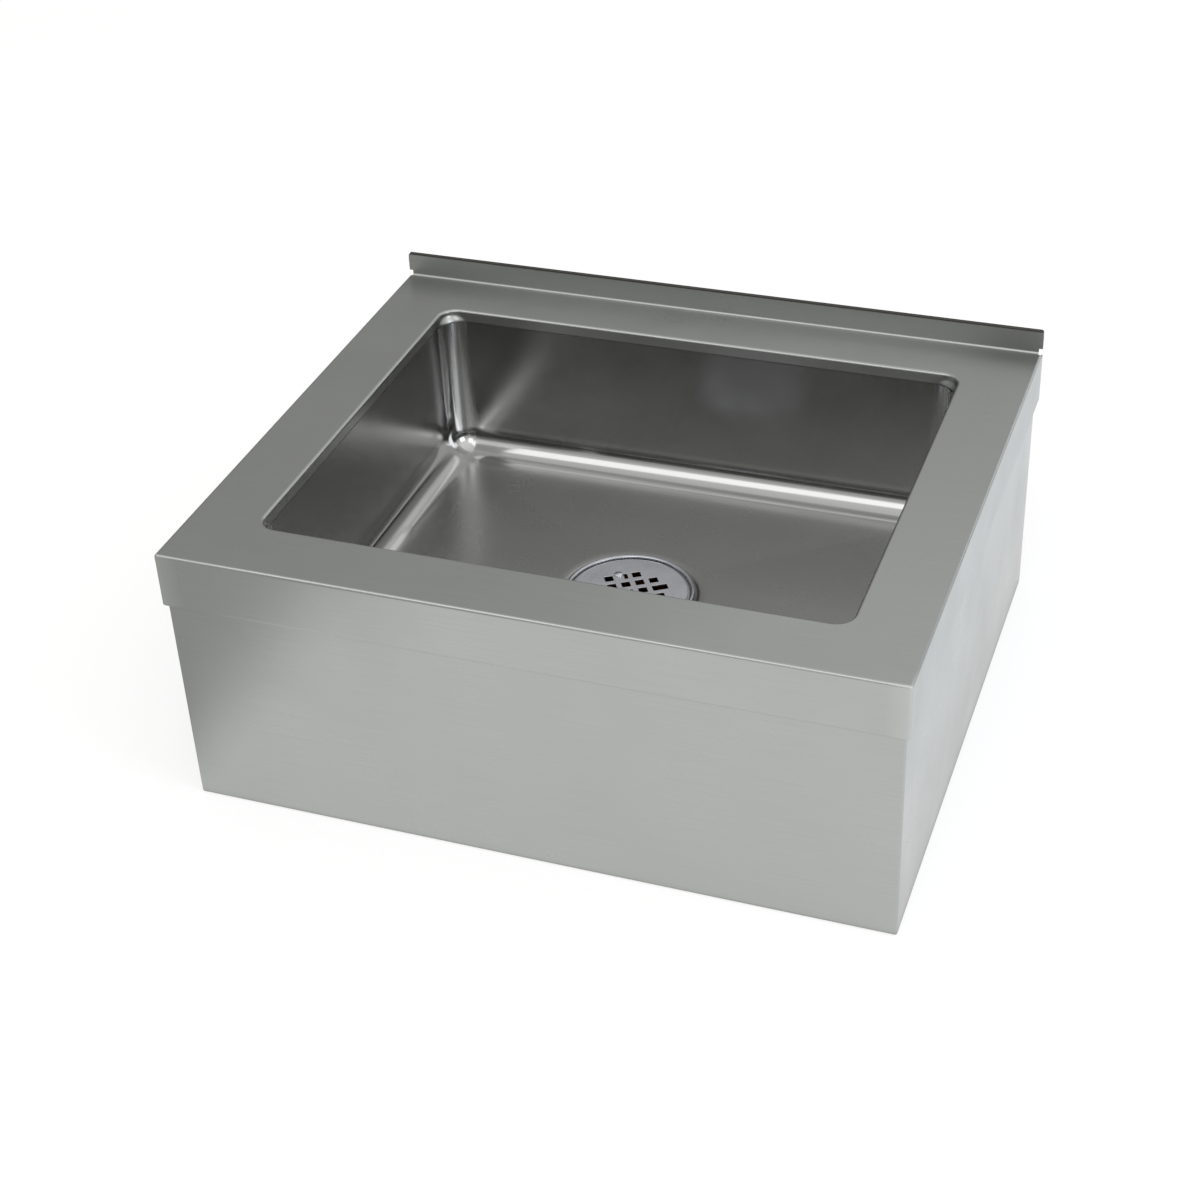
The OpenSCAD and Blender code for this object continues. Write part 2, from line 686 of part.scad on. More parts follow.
strainer_screw(screw_places[0]);  // strainer_screw_back
strainer_screw(screw_places[1]);  // strainer_screw_front
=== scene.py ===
import bmesh
import bpy
import numpy as np
from math import radians
from mathutils import Matrix, Vector


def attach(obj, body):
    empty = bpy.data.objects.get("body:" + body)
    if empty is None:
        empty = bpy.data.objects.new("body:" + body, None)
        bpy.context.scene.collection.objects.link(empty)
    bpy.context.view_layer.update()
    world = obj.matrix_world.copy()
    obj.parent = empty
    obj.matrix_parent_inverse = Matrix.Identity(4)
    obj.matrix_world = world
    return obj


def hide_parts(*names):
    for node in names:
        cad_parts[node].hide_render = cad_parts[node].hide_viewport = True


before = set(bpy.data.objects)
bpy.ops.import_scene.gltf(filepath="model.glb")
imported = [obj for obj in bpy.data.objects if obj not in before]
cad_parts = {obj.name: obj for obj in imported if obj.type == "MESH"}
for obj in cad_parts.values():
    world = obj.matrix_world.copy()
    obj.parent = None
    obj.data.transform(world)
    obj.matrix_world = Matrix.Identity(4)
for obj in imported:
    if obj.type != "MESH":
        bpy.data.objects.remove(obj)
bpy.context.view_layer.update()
scene = bpy.context.scene
scene.view_settings.view_transform = "Standard"
print("frame loaded,", len(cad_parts), "nodes")

# ---- small helpers ----

metre = 0.001                                   # one millimetre, in metres
weldStep = 0.01                                 # points closer than this, in mm, become one vertex
support = 0.4                                   # flat strip beside each bend, in mm, which keeps the shading flat


def linear(hexColour):
    # sRGB hex to linear RGBA: a power curve of 2.4 above a short straight toe
    value = np.array([int(hexColour[i:i + 2], 16) for i in (1, 3, 5)]) / 255
    value = np.where(value <= 0.04045, value / 12.92, ((value + 0.055) / 1.055) ** 2.4)
    return (*value.tolist(), 1.0)


def setInputs(tree, node, inputs):
    # each input takes a value, or the socket that feeds it
    for key, value in inputs.items():
        if isinstance(value, bpy.types.NodeSocket):
            tree.links.new(value, node.inputs[key])
        else:
            node.inputs[key].default_value = value


def addNode(tree, kind, inputs=None, **settings):
    # one node with its inputs; the settings are its properties
    node = tree.nodes.new(kind)
    for key, value in settings.items():
        setattr(node, key, value)
    setInputs(tree, node, inputs or {})
    return node


def newMaterial(name):
    material = bpy.data.materials.new(name)
    material.use_nodes = True
    return material, material.node_tree, material.node_tree.nodes["Principled BSDF"]


def arcPoints(centre, radius, start, end, count):
    # points on a circle: centre + radius * (cos, sin), at even angles from start to end in degrees
    angle = np.radians(np.linspace(start, end, count + 1))
    return np.stack([centre[0] + radius * np.cos(angle), centre[1] + radius * np.sin(angle)], 1)


def smooth(t):
    # eases from 0 to 1: 3 t^2 - 2 t^3
    t = np.clip(t, 0, 1)
    return t * t * (3 - 2 * t)


def running(points):
    # length along a polyline up to each of its points
    return np.concatenate([[0], np.cumsum(np.linalg.norm(np.diff(points, axis=0), axis=1))])


def near(a, b):
    return np.abs(a - b) < 1e-6


def patch(x, y, z, u, v, mark=0.0, flip=False):
    # a grid of points with its grain coordinates in mm; its faces look along rows x columns.
    # The mark is a value that the material reads: on sheet 1 is ground or polished, and in the bowl's coves also a
    # brighter tone, a painted highlight; 0 plain and -1 a darker, duller tone: painted shade, with a stain at the
    # splash web's right end and the bowl's floor also dulled; and on a casting 1 is metal without its plating,
    # painted darker as the shade inside the drain
    x, y, z, u, v, mark = np.broadcast_arrays(x, y, z, u, v, mark)
    return {"points": np.stack([x, y, z], -1).astype(float), "grain": np.stack([u, v], -1).astype(float),
            "mark": mark.astype(float), "flip": flip}


def revolve(profile, angles, radius=None, mark=0.0):
    # (radius, height) points turned about Z; a radius given as a grid takes the place of the profile's
    radius = profile[:, :1] if radius is None else radius
    return patch(radius * np.cos(angles), radius * np.sin(angles), profile[:, 1:],
                 profile[:, 0].mean() * angles, running(profile)[:, None], mark)


def weldPatches(patches):
    # each patch's cells become quads; points in one place become one vertex, and a cell with
    # a side of no length becomes a triangle
    quads, start = [], 0
    for part in patches:
        rows, cols = part["points"].shape[:2]
        at = start + np.arange(rows * cols).reshape(rows, cols)
        cell = np.stack([at[:-1, :-1], at[1:, :-1], at[1:, 1:], at[:-1, 1:]], -1).reshape(-1, 4)
        quads.append(cell[:, ::-1] if part["flip"] else cell)
        start += rows * cols
    quads = np.concatenate(quads)
    points = np.concatenate([part["points"].reshape(-1, 3) for part in patches])
    grain = np.concatenate([part["grain"].reshape(-1, 2) for part in patches])
    mark = np.concatenate([part["mark"].reshape(-1) for part in patches])
    offGrid = 0.317                             # keeps round sizes away from the edges of the rounding
    cube = np.round(points / weldStep + offGrid).astype(np.int64)
    _, first, joined = np.unique(cube, axis=0, return_index=True, return_inverse=True)
    joined = joined.reshape(-1)
    corner = joined[quads]
    same = corner == np.roll(corner, -1, axis=1)
    four, three = same.sum(1) == 0, same.sum(1) == 1
    keep = ~same[three]
    faces = corner[four].tolist() + corner[three][keep].reshape(-1, 3).tolist()
    cornerGrain = np.concatenate([grain[quads[four].reshape(-1)], grain[quads[three][keep]]])
    return points[first], faces, cornerGrain, mark[first]


def finishMesh(mesh, sharpAngle):
    mesh.polygons.foreach_set("use_smooth", np.ones(len(mesh.polygons), bool))
    mesh.set_sharp_from_angle(angle=radians(sharpAngle))
    mesh.update()


def place(piece, body, nodes=()):
    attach(piece, body)
    if nodes:
        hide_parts(*nodes)


def bakedMesh(piece):
    return bpy.data.meshes.new_from_object(piece.evaluated_get(bpy.context.evaluated_depsgraph_get()))


def pieceFromPatches(name, patches, material, sheet=0.0, sharpAngle=35, markName="polish"):
    # the patches welded into one mesh; with a sheet thickness, in mm, the wall grows inwards from them
    points, faces, grain, mark = weldPatches(patches)
    mesh = bpy.data.meshes.new(name)
    mesh.from_pydata(points * metre, [], faces)
    mesh.uv_layers.new(name="grain").data.foreach_set("uv", grain.reshape(-1))
    mesh.attributes.new(markName, "FLOAT", "POINT").data.foreach_set("value", mark)
    mesh.materials.append(material)
    piece = bpy.data.objects.new(name, mesh)
    scene.collection.objects.link(piece)
    if sheet:
        wall = piece.modifiers.new("sheet", "SOLIDIFY")
        wall.thickness = sheet * metre
        wall.offset = -1
        wall.use_even_offset = True
        wall.use_quality_normals = True
        piece.data = bakedMesh(piece)
        piece.modifiers.clear()
    finishMesh(piece.data, sharpAngle)
    return piece


def roundedLoop(halfX, halfY, radius, cornerAngles, sideCount):
    # rounded rectangle, anticlockwise from the right side: each point is a corner's centre, or a point
    # on the line between two of them, plus (radius + offset) * its outward normal
    signs = np.array([(1, 1), (-1, 1), (-1, -1), (1, -1)])
    beside = 0.015                              # where a side's end points stand, as a share of its length
    along = np.concatenate([[beside], np.linspace(0, 1, sideCount - 1)[1:-1], [1 - beside]])[:, None]
    centres, normals = [], []
    for k in range(4):
        here = signs[k] * (halfX - radius, halfY - radius)
        after = signs[(k + 1) % 4] * (halfX - radius, halfY - radius)
        angle = np.radians(cornerAngles + 90 * k)
        centres += [np.repeat(here[None], len(angle), 0), here + (after - here) * along]
        normals += [np.stack([np.cos(angle), np.sin(angle)], 1),
                    np.repeat([[np.cos(angle[-1]), np.sin(angle[-1])]], sideCount - 1, 0)]
    centres, normals = np.concatenate(centres), np.concatenate(normals)
    return np.concatenate([centres, centres[:1]]), np.concatenate([normals, normals[:1]])


# ---- materials ----
# Every metal keeps the default IOR. Grain coordinates are in millimetres: u along the grain, v across it.

satinSteel = {                                  # stainless 304 sheet, belt-brushed: pale, with fine long lines
    "bright": "#b3b5b2", "dark": "#a8aaa7",     # tone of the fine streaks
    "roughLow": 0.25, "roughHigh": 0.34,
    "streakLength": 90, "streakWidth": 0.9,     # real grit lines are 0.05 mm wide; drawn coarser, to show
    "streakHeight": 0.0004,
    "waveSize": 170, "waveHeight": 0.02,        # slow waviness that welding leaves in the sheet
    "anisotropy": 0.45,
    "ground": "#bec0bc", "groundRough": 0.16,   # weld zones, ground back with a coarser belt
    "shadeAndGrime": "#4c4a47", "shadeAndGrimeRough": 0.12,     # painted shade: the dark line at the lip's weld to the bowl and along the splash's top edge, and the darker back of the deck; on the splash's web painted shade with a stain at its right end
}
bowlSteel = {                                   # stainless 304, deep drawn, then buffed: darker and clearer
    "bright": "#a5a5a3", "dark": "#9c9c9a",
    "roughLow": 0.17, "roughHigh": 0.24,
    "streakLength": 60, "streakWidth": 1.1,     # drawn coarser than the buffing wheel's lines, to show
    "streakHeight": 0.0002,
    "waveSize": 120, "waveHeight": 0.02,
    "anisotropy": 0.3,
    "ground": "#b6b6b5", "groundRough": -0.07,  # coves, polished smoother than the walls, with a brighter tone that is a painted highlight
    "shadeAndGrime": "#939391", "shadeAndGrimeRough": 0.07,     # floor and drain recess: duller, and darker in tone, a painted shade
}


def brushedSteel(name, look):
    # satin streaks along the grain, a slow waviness, faint clouds in the gloss, and the marked zones
    cloudScale = 1.7                            # the clouds are this much finer than the waves
    material, tree, shader = newMaterial(name)
    grain = addNode(tree, "ShaderNodeUVMap", uv_map="grain")
    spot = addNode(tree, "ShaderNodeTexCoord").outputs["Object"]
    stretch = addNode(tree, "ShaderNodeMapping", {
        "Vector": grain.outputs["UV"], "Scale": (1 / look["streakLength"], 1 / look["streakWidth"], 1)})
    streaks = addNode(tree, "ShaderNodeTexNoise", {
        "Vector": stretch.outputs["Vector"], "Scale": 1.0, "Detail": 4.0, "Roughness": 0.62},
        noise_dimensions="2D")
    clouds = addNode(tree, "ShaderNodeTexNoise", {
        "Vector": spot, "Scale": cloudScale / (look["waveSize"] * metre), "Detail": 3.0, "Roughness": 0.55})
    waves = addNode(tree, "ShaderNodeTexNoise", {
        "Vector": spot, "Scale": 1 / (look["waveSize"] * metre), "Detail": 1.0, "Roughness": 0.4})
    worked = addNode(tree, "ShaderNodeAttribute", attribute_name="polish")
    sheet = addNode(tree, "ShaderNodeMix", {
        0: streaks.outputs["Fac"], 6: linear(look["dark"]), 7: linear(look["bright"])}, data_type="RGBA")
    tone = addNode(tree, "ShaderNodeMix", {
        0: worked.outputs["Fac"], 6: sheet.outputs[2], 7: linear(look["ground"])}, data_type="RGBA")
    rough = addNode(tree, "ShaderNodeMapRange", {
        "Value": clouds.outputs["Fac"], "From Min": 0.3, "From Max": 0.7,
        "To Min": look["roughLow"], "To Max": look["roughHigh"]})
    ground = addNode(tree, "ShaderNodeMath", {0: worked.outputs["Fac"], 1: 0.0}, operation="MAXIMUM")
    rougher = addNode(tree, "ShaderNodeMath", {
        0: ground.outputs["Value"], 1: look["groundRough"], 2: rough.outputs["Result"]}, operation="MULTIPLY_ADD")
    # a darker, duller tone lies where the mark is below 0: painted shade, and on the splash's web also a stain
    grimy = addNode(tree, "ShaderNodeMath", {
        0: worked.outputs["Fac"], 1: -1.0}, operation="MULTIPLY", use_clamp=True)
    tone = addNode(tree, "ShaderNodeMix", {
        0: grimy.outputs["Value"], 6: tone.outputs[2], 7: linear(look["shadeAndGrime"])}, data_type="RGBA")
    rougher = addNode(tree, "ShaderNodeMath", {
        0: grimy.outputs["Value"], 1: look["shadeAndGrimeRough"], 2: rougher.outputs["Value"]}, operation="MULTIPLY_ADD")
    ripple = addNode(tree, "ShaderNodeBump", {
        "Height": waves.outputs["Fac"], "Strength": 1.0, "Distance": look["waveHeight"] * metre})
    lines = addNode(tree, "ShaderNodeBump", {
        "Height": streaks.outputs["Fac"], "Strength": 1.0, "Distance": look["streakHeight"] * metre,
        "Normal": ripple.outputs["Normal"]})
    tangent = addNode(tree, "ShaderNodeTangent", direction_type="UV_MAP", uv_map="grain")
    setInputs(tree, shader, {
        "Metallic": 1.0, "Anisotropic": look["anisotropy"], "Anisotropic Rotation": 0.25,
        "Base Color": tone.outputs[2], "Roughness": rougher.outputs["Value"], "Normal": lines.outputs["Normal"],
        "Tangent": tangent.outputs["Tangent"]})
    return material


def plainSolid(name, bright, dark, rough, grit, metal=False, bare=None, specular=0.5):
    # a solid without a grain. The numbers are the roughness from and to, and the grit's size and height in mm.
    # Metal, cast or milled, has slow changes of tone and gloss over a fine grit; in rubber, fibre, putty and
    # bitumen the grit is a speckled tone too. Where the piece's mark of bare metal is 1, the bare tones show, painted
    # darker than bare brass as the shade inside the drain
    stainSize = 22                              # handling stains, in mm
    material, tree, shader = newMaterial(name)
    spot = addNode(tree, "ShaderNodeTexCoord").outputs["Object"]
    detail, broken = (4.0, 0.6) if metal else (5.0, 0.65)
    specks = addNode(tree, "ShaderNodeTexNoise", {
        "Vector": spot, "Scale": 1 / (grit[0] * metre), "Detail": detail, "Roughness": broken})
    stains = addNode(tree, "ShaderNodeTexNoise", {
        "Vector": spot, "Scale": 1 / (stainSize * metre), "Detail": 3.0, "Roughness": 0.55}) if metal else specks
    tone = addNode(tree, "ShaderNodeMix", {
        0: stains.outputs["Fac"], 6: linear(dark), 7: linear(bright)}, data_type="RGBA")
    gloss = addNode(tree, "ShaderNodeMapRange", {
        "Value": stains.outputs["Fac"], "From Min": 0.3, "From Max": 0.7, "To Min": rough[0], "To Max": rough[1]})
    bump = addNode(tree, "ShaderNodeBump", {
        "Height": specks.outputs["Fac"], "Strength": 1.0, "Distance": grit[1] * metre})
    if bare:
        raw = addNode(tree, "ShaderNodeMix", {
            0: stains.outputs["Fac"], 6: linear(bare[1]), 7: linear(bare[0])}, data_type="RGBA")
        where = addNode(tree, "ShaderNodeAttribute", attribute_name="bare")
        tone = addNode(tree, "ShaderNodeMix", {
            0: where.outputs["Fac"], 6: tone.outputs[2], 7: raw.outputs[2]}, data_type="RGBA")
    setInputs(tree, shader, {
        "Metallic": float(metal), "Specular IOR Level": specular,
        "Base Color": tone.outputs[2], "Roughness": gloss.outputs["Result"], "Normal": bump.outputs["Normal"]})
    return material


deckSteelMaterial = brushedSteel("stainless_304_belt_brushed_satin", satinSteel)
bowlSteelMaterial = brushedSteel("stainless_304_deep_drawn_buffed", bowlSteel)
# cold rolled and pickled: an even grey without a grain
millSteelMaterial = plainSolid("stainless_304_mill_finish_2B", "#b4b4b1", "#a3a3a1", (0.30, 0.42), (1.2, 0.004), True)
# nickel over a smooth casting: soft and faintly bluish, with brown brass where the plating bath didn't reach, painted
# darker still as the shade inside the cup
platedMaterial = plainSolid("brass_cast_satin_nickel_plated", "#b9babe", "#a8a9ae", (0.18, 0.28), (0.9, 0.003), True,
                            bare=("#96683a", "#5c4126"))
# cast in sand and left so: yellow, matt and gritty
brassCastMaterial = plainSolid("brass_sand_cast", "#c9a562", "#a9854a", (0.34, 0.50), (0.8, 0.012), True)
# drawn tube: yellow, smooth and glossier
brassTubeMaterial = plainSolid("brass_tube_drawn", "#d0ad68", "#bb9752", (0.20, 0.32), (2.0, 0.003), True)
# plated small parts: bright and nearly clear
screwMaterial = plainSolid("steel_screw_nickel_plated", "#d2d3d6", "#bfc0c4", (0.14, 0.24), (0.7, 0.002), True)
# punched, then tumbled in stones: pale, even and half matt
plateMaterial = plainSolid("stainless_strainer_punched_tumbled", "#d0d1d6", "#c2c2c9", (0.24, 0.34), (1.0, 0.004),
                           True)
# moulded rubber: near black with a dull skin
rubberMaterial = plainSolid("rubber_epdm_moulded", "#2b2b2e", "#1f1f21", (0.55, 0.70), (1.2, 0.015))
# pressed paper fibre: brick red and matt
fibreMaterial = plainSolid("vulcanised_fibre_pressed", "#96523f", "#7c4031", (0.60, 0.78), (0.8, 0.020))
# smeared by hand: off-white, lumpy and a little oily
puttyMaterial = plainSolid("plumbers_putty_smeared", "#cdc6b8", "#bdb5a4", (0.50, 0.66), (2.5, 0.050))
# pressed bitumen sheet: black and rough
padMaterial = plainSolid("bitumen_damping_pad_pressed", "#343436", "#242426", (0.62, 0.82), (1.8, 0.060),
                         specular=0.4)
print("materials made")

# ---- deck: one folded sheet ----

deck = {
    "halfX": 317.5, "halfY": 266.7, "top": 254.0, "sheet": 1.6, "bend": 2.6,
    "apron": 50.8, "hem": 12.7, "foldRadius": 1.7,
    "openX": 254.0, "openY": 203.2, "openCorner": 16.0, "land": 3.0,
    "lip": 12.0, "lipCorner": 25.0, "lipFlare": 8.0, "seam": 1.6,          # the seam is the weld to the bowl
    "splashBendY": 261.3, "splashBend": 2.0, "splashTop": 278.0, "splashHem": 12.0, "splashCorner": 4.0,
    "reliefWidth": 3.5, "reliefTop": 259.0, "reliefSeam": 2.0,
    "bendSteps": 10, "apronRow": 14.0,          # facets in a bend, and a row of the apron this far above its fold
    "webRows": (266.0, 272.0, 275.4),           # heights in the splash's web; above the last one the hem's fold is painted dark, a painted shade line
    "cornerGround": (1.0, 6.0),                 # ground bright as far as the first from a corner, over the second
    "bendGround": 0.6,                          # how far the splash's bend is ground dull
    "backShade": (0.3, (150, 140), (215, 40)),  # painted shade on the flat, growing towards its back corners: strength, and in x and y where it starts and how far it grows
    "webShadeAndStain": (0.15, 0.3, (235, 60)),         # painted shade on the splash's web, with a stain at its right end: strength, what the right end adds, and the same for the end
}


def growing(at, fromAndRun):
    # eases from 0 at the place given first to 1 where it is past by the second
    return smooth((at - fromAndRun[0]) / fromAndRun[1])


def deckPatches(d):
    top, bend = d["top"], d["bend"]
    edgeX, edgeY = d["halfX"] - bend, d["halfY"] - bend
    backY = d["splashBendY"]
    innerX = d["halfX"] - d["reliefWidth"]
    seamX = innerX - d["reliefSeam"]
    # the opening's corner angles take in the two that point at the splash's ends
    centreX, centreY = d["openX"] - d["openCorner"], d["openY"] - d["openCorner"]
    special = np.degrees(np.arctan((np.array([seamX, innerX]) - centreX) / (edgeX - centreX)))
    angles = np.sort(np.concatenate([np.linspace(0, 90, 13), special, 90 - special]))
    centre, normal = roundedLoop(d["openX"], d["openY"], d["openCorner"], angles, 10)

    # lip: its section rolls from the deck's top down to the rim, carried round the opening; towards the rim
    # the corners open out to the bowl's larger radius
    roll = arcPoints((bend, top - bend), bend, 90, 180, d["bendSteps"])
    rimZ = top - d["lip"]
    down = np.append(np.linspace(top - bend - support, rimZ + d["seam"], 9), rimZ)
    section = np.concatenate([[[bend + d["land"], top], [bend + support, top]], roll,
                              np.stack([0 * down, down], 1)])
    length = running(section)[:, None]
    offset, height = section[:, :1], section[:, 1:]
    ring = d["openCorner"] + bend + d["land"]
    flare = smooth(1 - (height - rimZ) / d["lipFlare"])
    wide, _ = roundedLoop(d["openX"], d["openY"], d["lipCorner"], angles, 10)
    lipRadius = d["openCorner"] + (d["lipCorner"] - d["openCorner"]) * flare + offset
    lipX = centre[:, 0] + (wide - centre)[:, 0] * flare + lipRadius * normal[:, 0]
    lipY = centre[:, 1] + (wide - centre)[:, 1] * flare + lipRadius * normal[:, 1]
    rolled = 2 + len(roll)                      # rows of the land and the bend; below, the grain runs round the rim
    lip = patch(lipX[:rolled], lipY[:rolled], height[:rolled],
                centre[:, 0] + (ring - length[:rolled]) * normal[:, 0],
                centre[:, 1] + (ring - length[:rolled]) * normal[:, 1], flip=True)
    # the rim's foot, at the weld to the bowl, fades to a dark tone: a painted shade line under the lip
    rim = patch(lipX[rolled - 1:], lipY[rolled - 1:], height[rolled - 1:],
                running(np.stack([lipX[-1], lipY[-1]], 1)), length[rolled - 1:],
                np.where(height[rolled - 1:] > rimZ, 0, -1), flip=True)

    # flat: from the lip's land straight out to the outer bends and the splash; rows crowd at both of its edges
    reach = np.stack([np.full(len(normal), edgeX - centreX),
                      np.where(normal[:, 1] > 0, backY - centreY, edgeY - centreY)], 1)
    outer = centre + reach * normal / np.abs(normal).max(1)[:, None]
    inner = centre + ring * normal
    t = np.concatenate([[0, 0.01], np.linspace(0.06, 0.94, 8), [0.992, 1]])[:, None]
    flatX, flatY = inner[:, 0] + (outer - inner)[:, 0] * t, inner[:, 1] + (outer - inner)[:, 1] * t
    # the flat is painted darker towards its back corners: painted shade
    strength, sideways, backwards = d["backShade"]
    settled = strength * growing(np.abs(flatX), sideways) * growing(flatY, backwards)
    flat = patch(flatX, flatY, top, flatX, flatY, -settled)

    # aprons: bend, web, closed hem and inner leaf, carried from the back left corner round the front;
    # each front corner's point is taken once for every step of the normal's quarter turn
    count = len(outer) - 1
    start = np.where(near(outer[:-1, 0], -edgeX) & near(outer[:-1, 1], backY))[0][0]
    walk = outer[(start + np.arange(count)) % count]
    stop = np.where(near(walk[:, 0], edgeX) & near(walk[:, 1], backY))[0][0]
    walk = walk[:stop + 1]
    left, right, front = near(walk[:, 0], -edgeX), near(walk[:, 0], edgeX), near(walk[:, 1], -edgeY)
    atCorner = front & (left | right)
    quarter = np.linspace(0, 90, 9)
    copies = np.where(atCorner, len(quarter), 1)
    which = np.repeat(np.arange(len(walk)), copies)
    step = np.arange(len(which)) - np.repeat(np.cumsum(copies) - copies, copies)
    heading = np.radians(np.where(left, 180, np.where(front, 270, 360))[which] + quarter[step])
    pathPoint = walk[which]
    pathNormal = np.stack([np.cos(heading), np.sin(heading)], 1)
    pathCorner = np.where(atCorner[which][:, None], np.sign(pathPoint), pathNormal)
    low = top - d["apron"]
    fold = d["foldRadius"]
    profile = np.concatenate([
        arcPoints((bend, top - bend), bend, 90, 180, d["bendSteps"]),
        [[0, top - bend - support], [0, low + fold + d["apronRow"]], [0, low + fold + support]],
        arcPoints((fold, low + fold), fold, 180, 360, 12),
        [[2 * fold, low + fold + support], [2 * fold, low + d["hem"]]]])
    inset, height = profile[:, :1], profile[:, 1:]
    length = running(profile)[:, None]
    towards = np.where((inset > bend)[..., None], pathCorner, pathNormal)      # inside, the corner is square
    outward = bend - inset
    gridX = pathPoint[:, 0] + outward * towards[..., 0]
    gridY = pathPoint[:, 1] + outward * towards[..., 1]
    steep = np.abs(pathNormal[:, 0]) > np.abs(pathNormal[:, 1])
    grainU = np.where(steep, pathPoint[:, 0] + np.sign(pathPoint[:, 0]) * length, pathPoint[:, 0])
    grainV = np.where(steep, pathPoint[:, 1], pathPoint[:, 1] - length)
    fromCorner = np.hypot(np.abs(pathPoint[:, 0]) - edgeX, pathPoint[:, 1] + edgeY)
    aprons = patch(gridX, gridY, height, grainU, grainV, 1 - growing(fromCorner, d["cornerGround"]))

    # ends of the side aprons behind the splash's bend, below the relief
    below = slice(d["bendSteps"], None)         # the profile's rows from the bend's end on
    tails = []
    for side in (-1, 1):
        y = np.linspace(backY, d["halfY"], 4)[::side]
        tails.append(patch(side * (edgeX + outward[below]), y, height[below],
                           side * (edgeX + length[below]), y))

    # splash: bend, web, closed hem, between the reliefs at its foot and full width above them
    r, y0 = d["splashBend"], backY
    webY = y0 + r
    rise = np.concatenate([
        [[y0, top]], arcPoints((y0, top + r), r, 270, 360, 8)[1:],
        [[webY, level] for level in (top + r + support, d["reliefTop"], *d["webRows"])],
        arcPoints((webY + fold, d["splashTop"] - fold), fold, 180, 0, 12),
        [[webY + 2 * fold, d["splashTop"] - fold - support],
         [webY + 2 * fold, d["splashTop"] - d["splashHem"]]]])
    y, z = rise[:, :1], rise[:, 1:]
    up = running(rise)[:, None]
    startZ = d["splashTop"] - d["splashCorner"]
    half = d["halfX"] - d["splashCorner"] + np.sqrt(np.clip(
        d["splashCorner"] ** 2 - np.clip(z - startZ, 0, None) ** 2, 0, None))
    backX = np.unique(np.round(outer[near(outer[:, 1], backY)][:, 0], 6))
    middle = backX[np.abs(backX) < seamX + 1e-3][::-1]

    def worn(x, rows):
        # the bend is ground dull; the hem's fold is painted dark, a painted shade line, and the web a little darker,
        # a painted shade, most at its right end, where a stain adds to it
        strength, more, end = d["webShadeAndStain"]
        web = (y[rows] == webY) * (strength + more * growing(x, end))
        mark = (z[rows] > top) * (d["bendGround"] * (y[rows] < webY) - web)
        return np.where(z[rows] > d["webRows"][-1], -1, mark)

    every = slice(None)
    splash = [patch(middle, y, z, middle, backY + up, worn(middle, every))]
    notch = int(np.where(near(rise[:, 1], d["reliefTop"]))[0][0])
    for side in (-1, 1):
        feet = np.array([seamX, innerX])[::-side]
        splash.append(patch(side * feet, y[:notch + 1], z[:notch + 1], side * feet, backY + up[:notch + 1],
                            worn(side * feet, slice(notch + 1))))
        share = np.concatenate([[0], [(innerX - seamX) / (d["halfX"] - seamX)], [0.7, 1]])[::-side]
        x = side * (seamX + (half[notch:] - seamX) * share)
        splash.append(patch(x, y[notch:], z[notch:], x, backY + up[notch:], worn(x, slice(notch, None))))
    return [lip, rim, flat, aprons, *tails, *splash]


deckTop = pieceFromPatches("deck_sheet", deckPatches(deck), deckSteelMaterial, deck["sheet"])
place(deckTop, "sink", ["deck_top"])
print("deck made,", len(deckTop.data.polygons), "faces")

# ---- bowl: drawn, butt-welded to the deck's lip ----

bowl = {
    "halfX": deck["openX"], "halfY": deck["openY"], "rimZ": deck["top"] - deck["lip"], "corner": deck["lipCorner"],
    "draft": 2.0, "coveTop": 125.6, "cove": 24.0, "floorEdge": 101.6, "floorDrain": 99.6,
    "seatOuter": 65.199, "seatInner": 61.0, "seatZ": 97.6, "hole": 44.5, "sheet": deck["sheet"],
    "rimRow": 3.0, "coveRow": 4.0, "seatRows": (58.0, 50.0, 45.2),         # rows near the rim, the cove and the hole
    "dullShadeRun": 0.15,                            # share of the way to the drain over which the polish ends and the floor's duller, darker tone, a painted shade, sets in
}


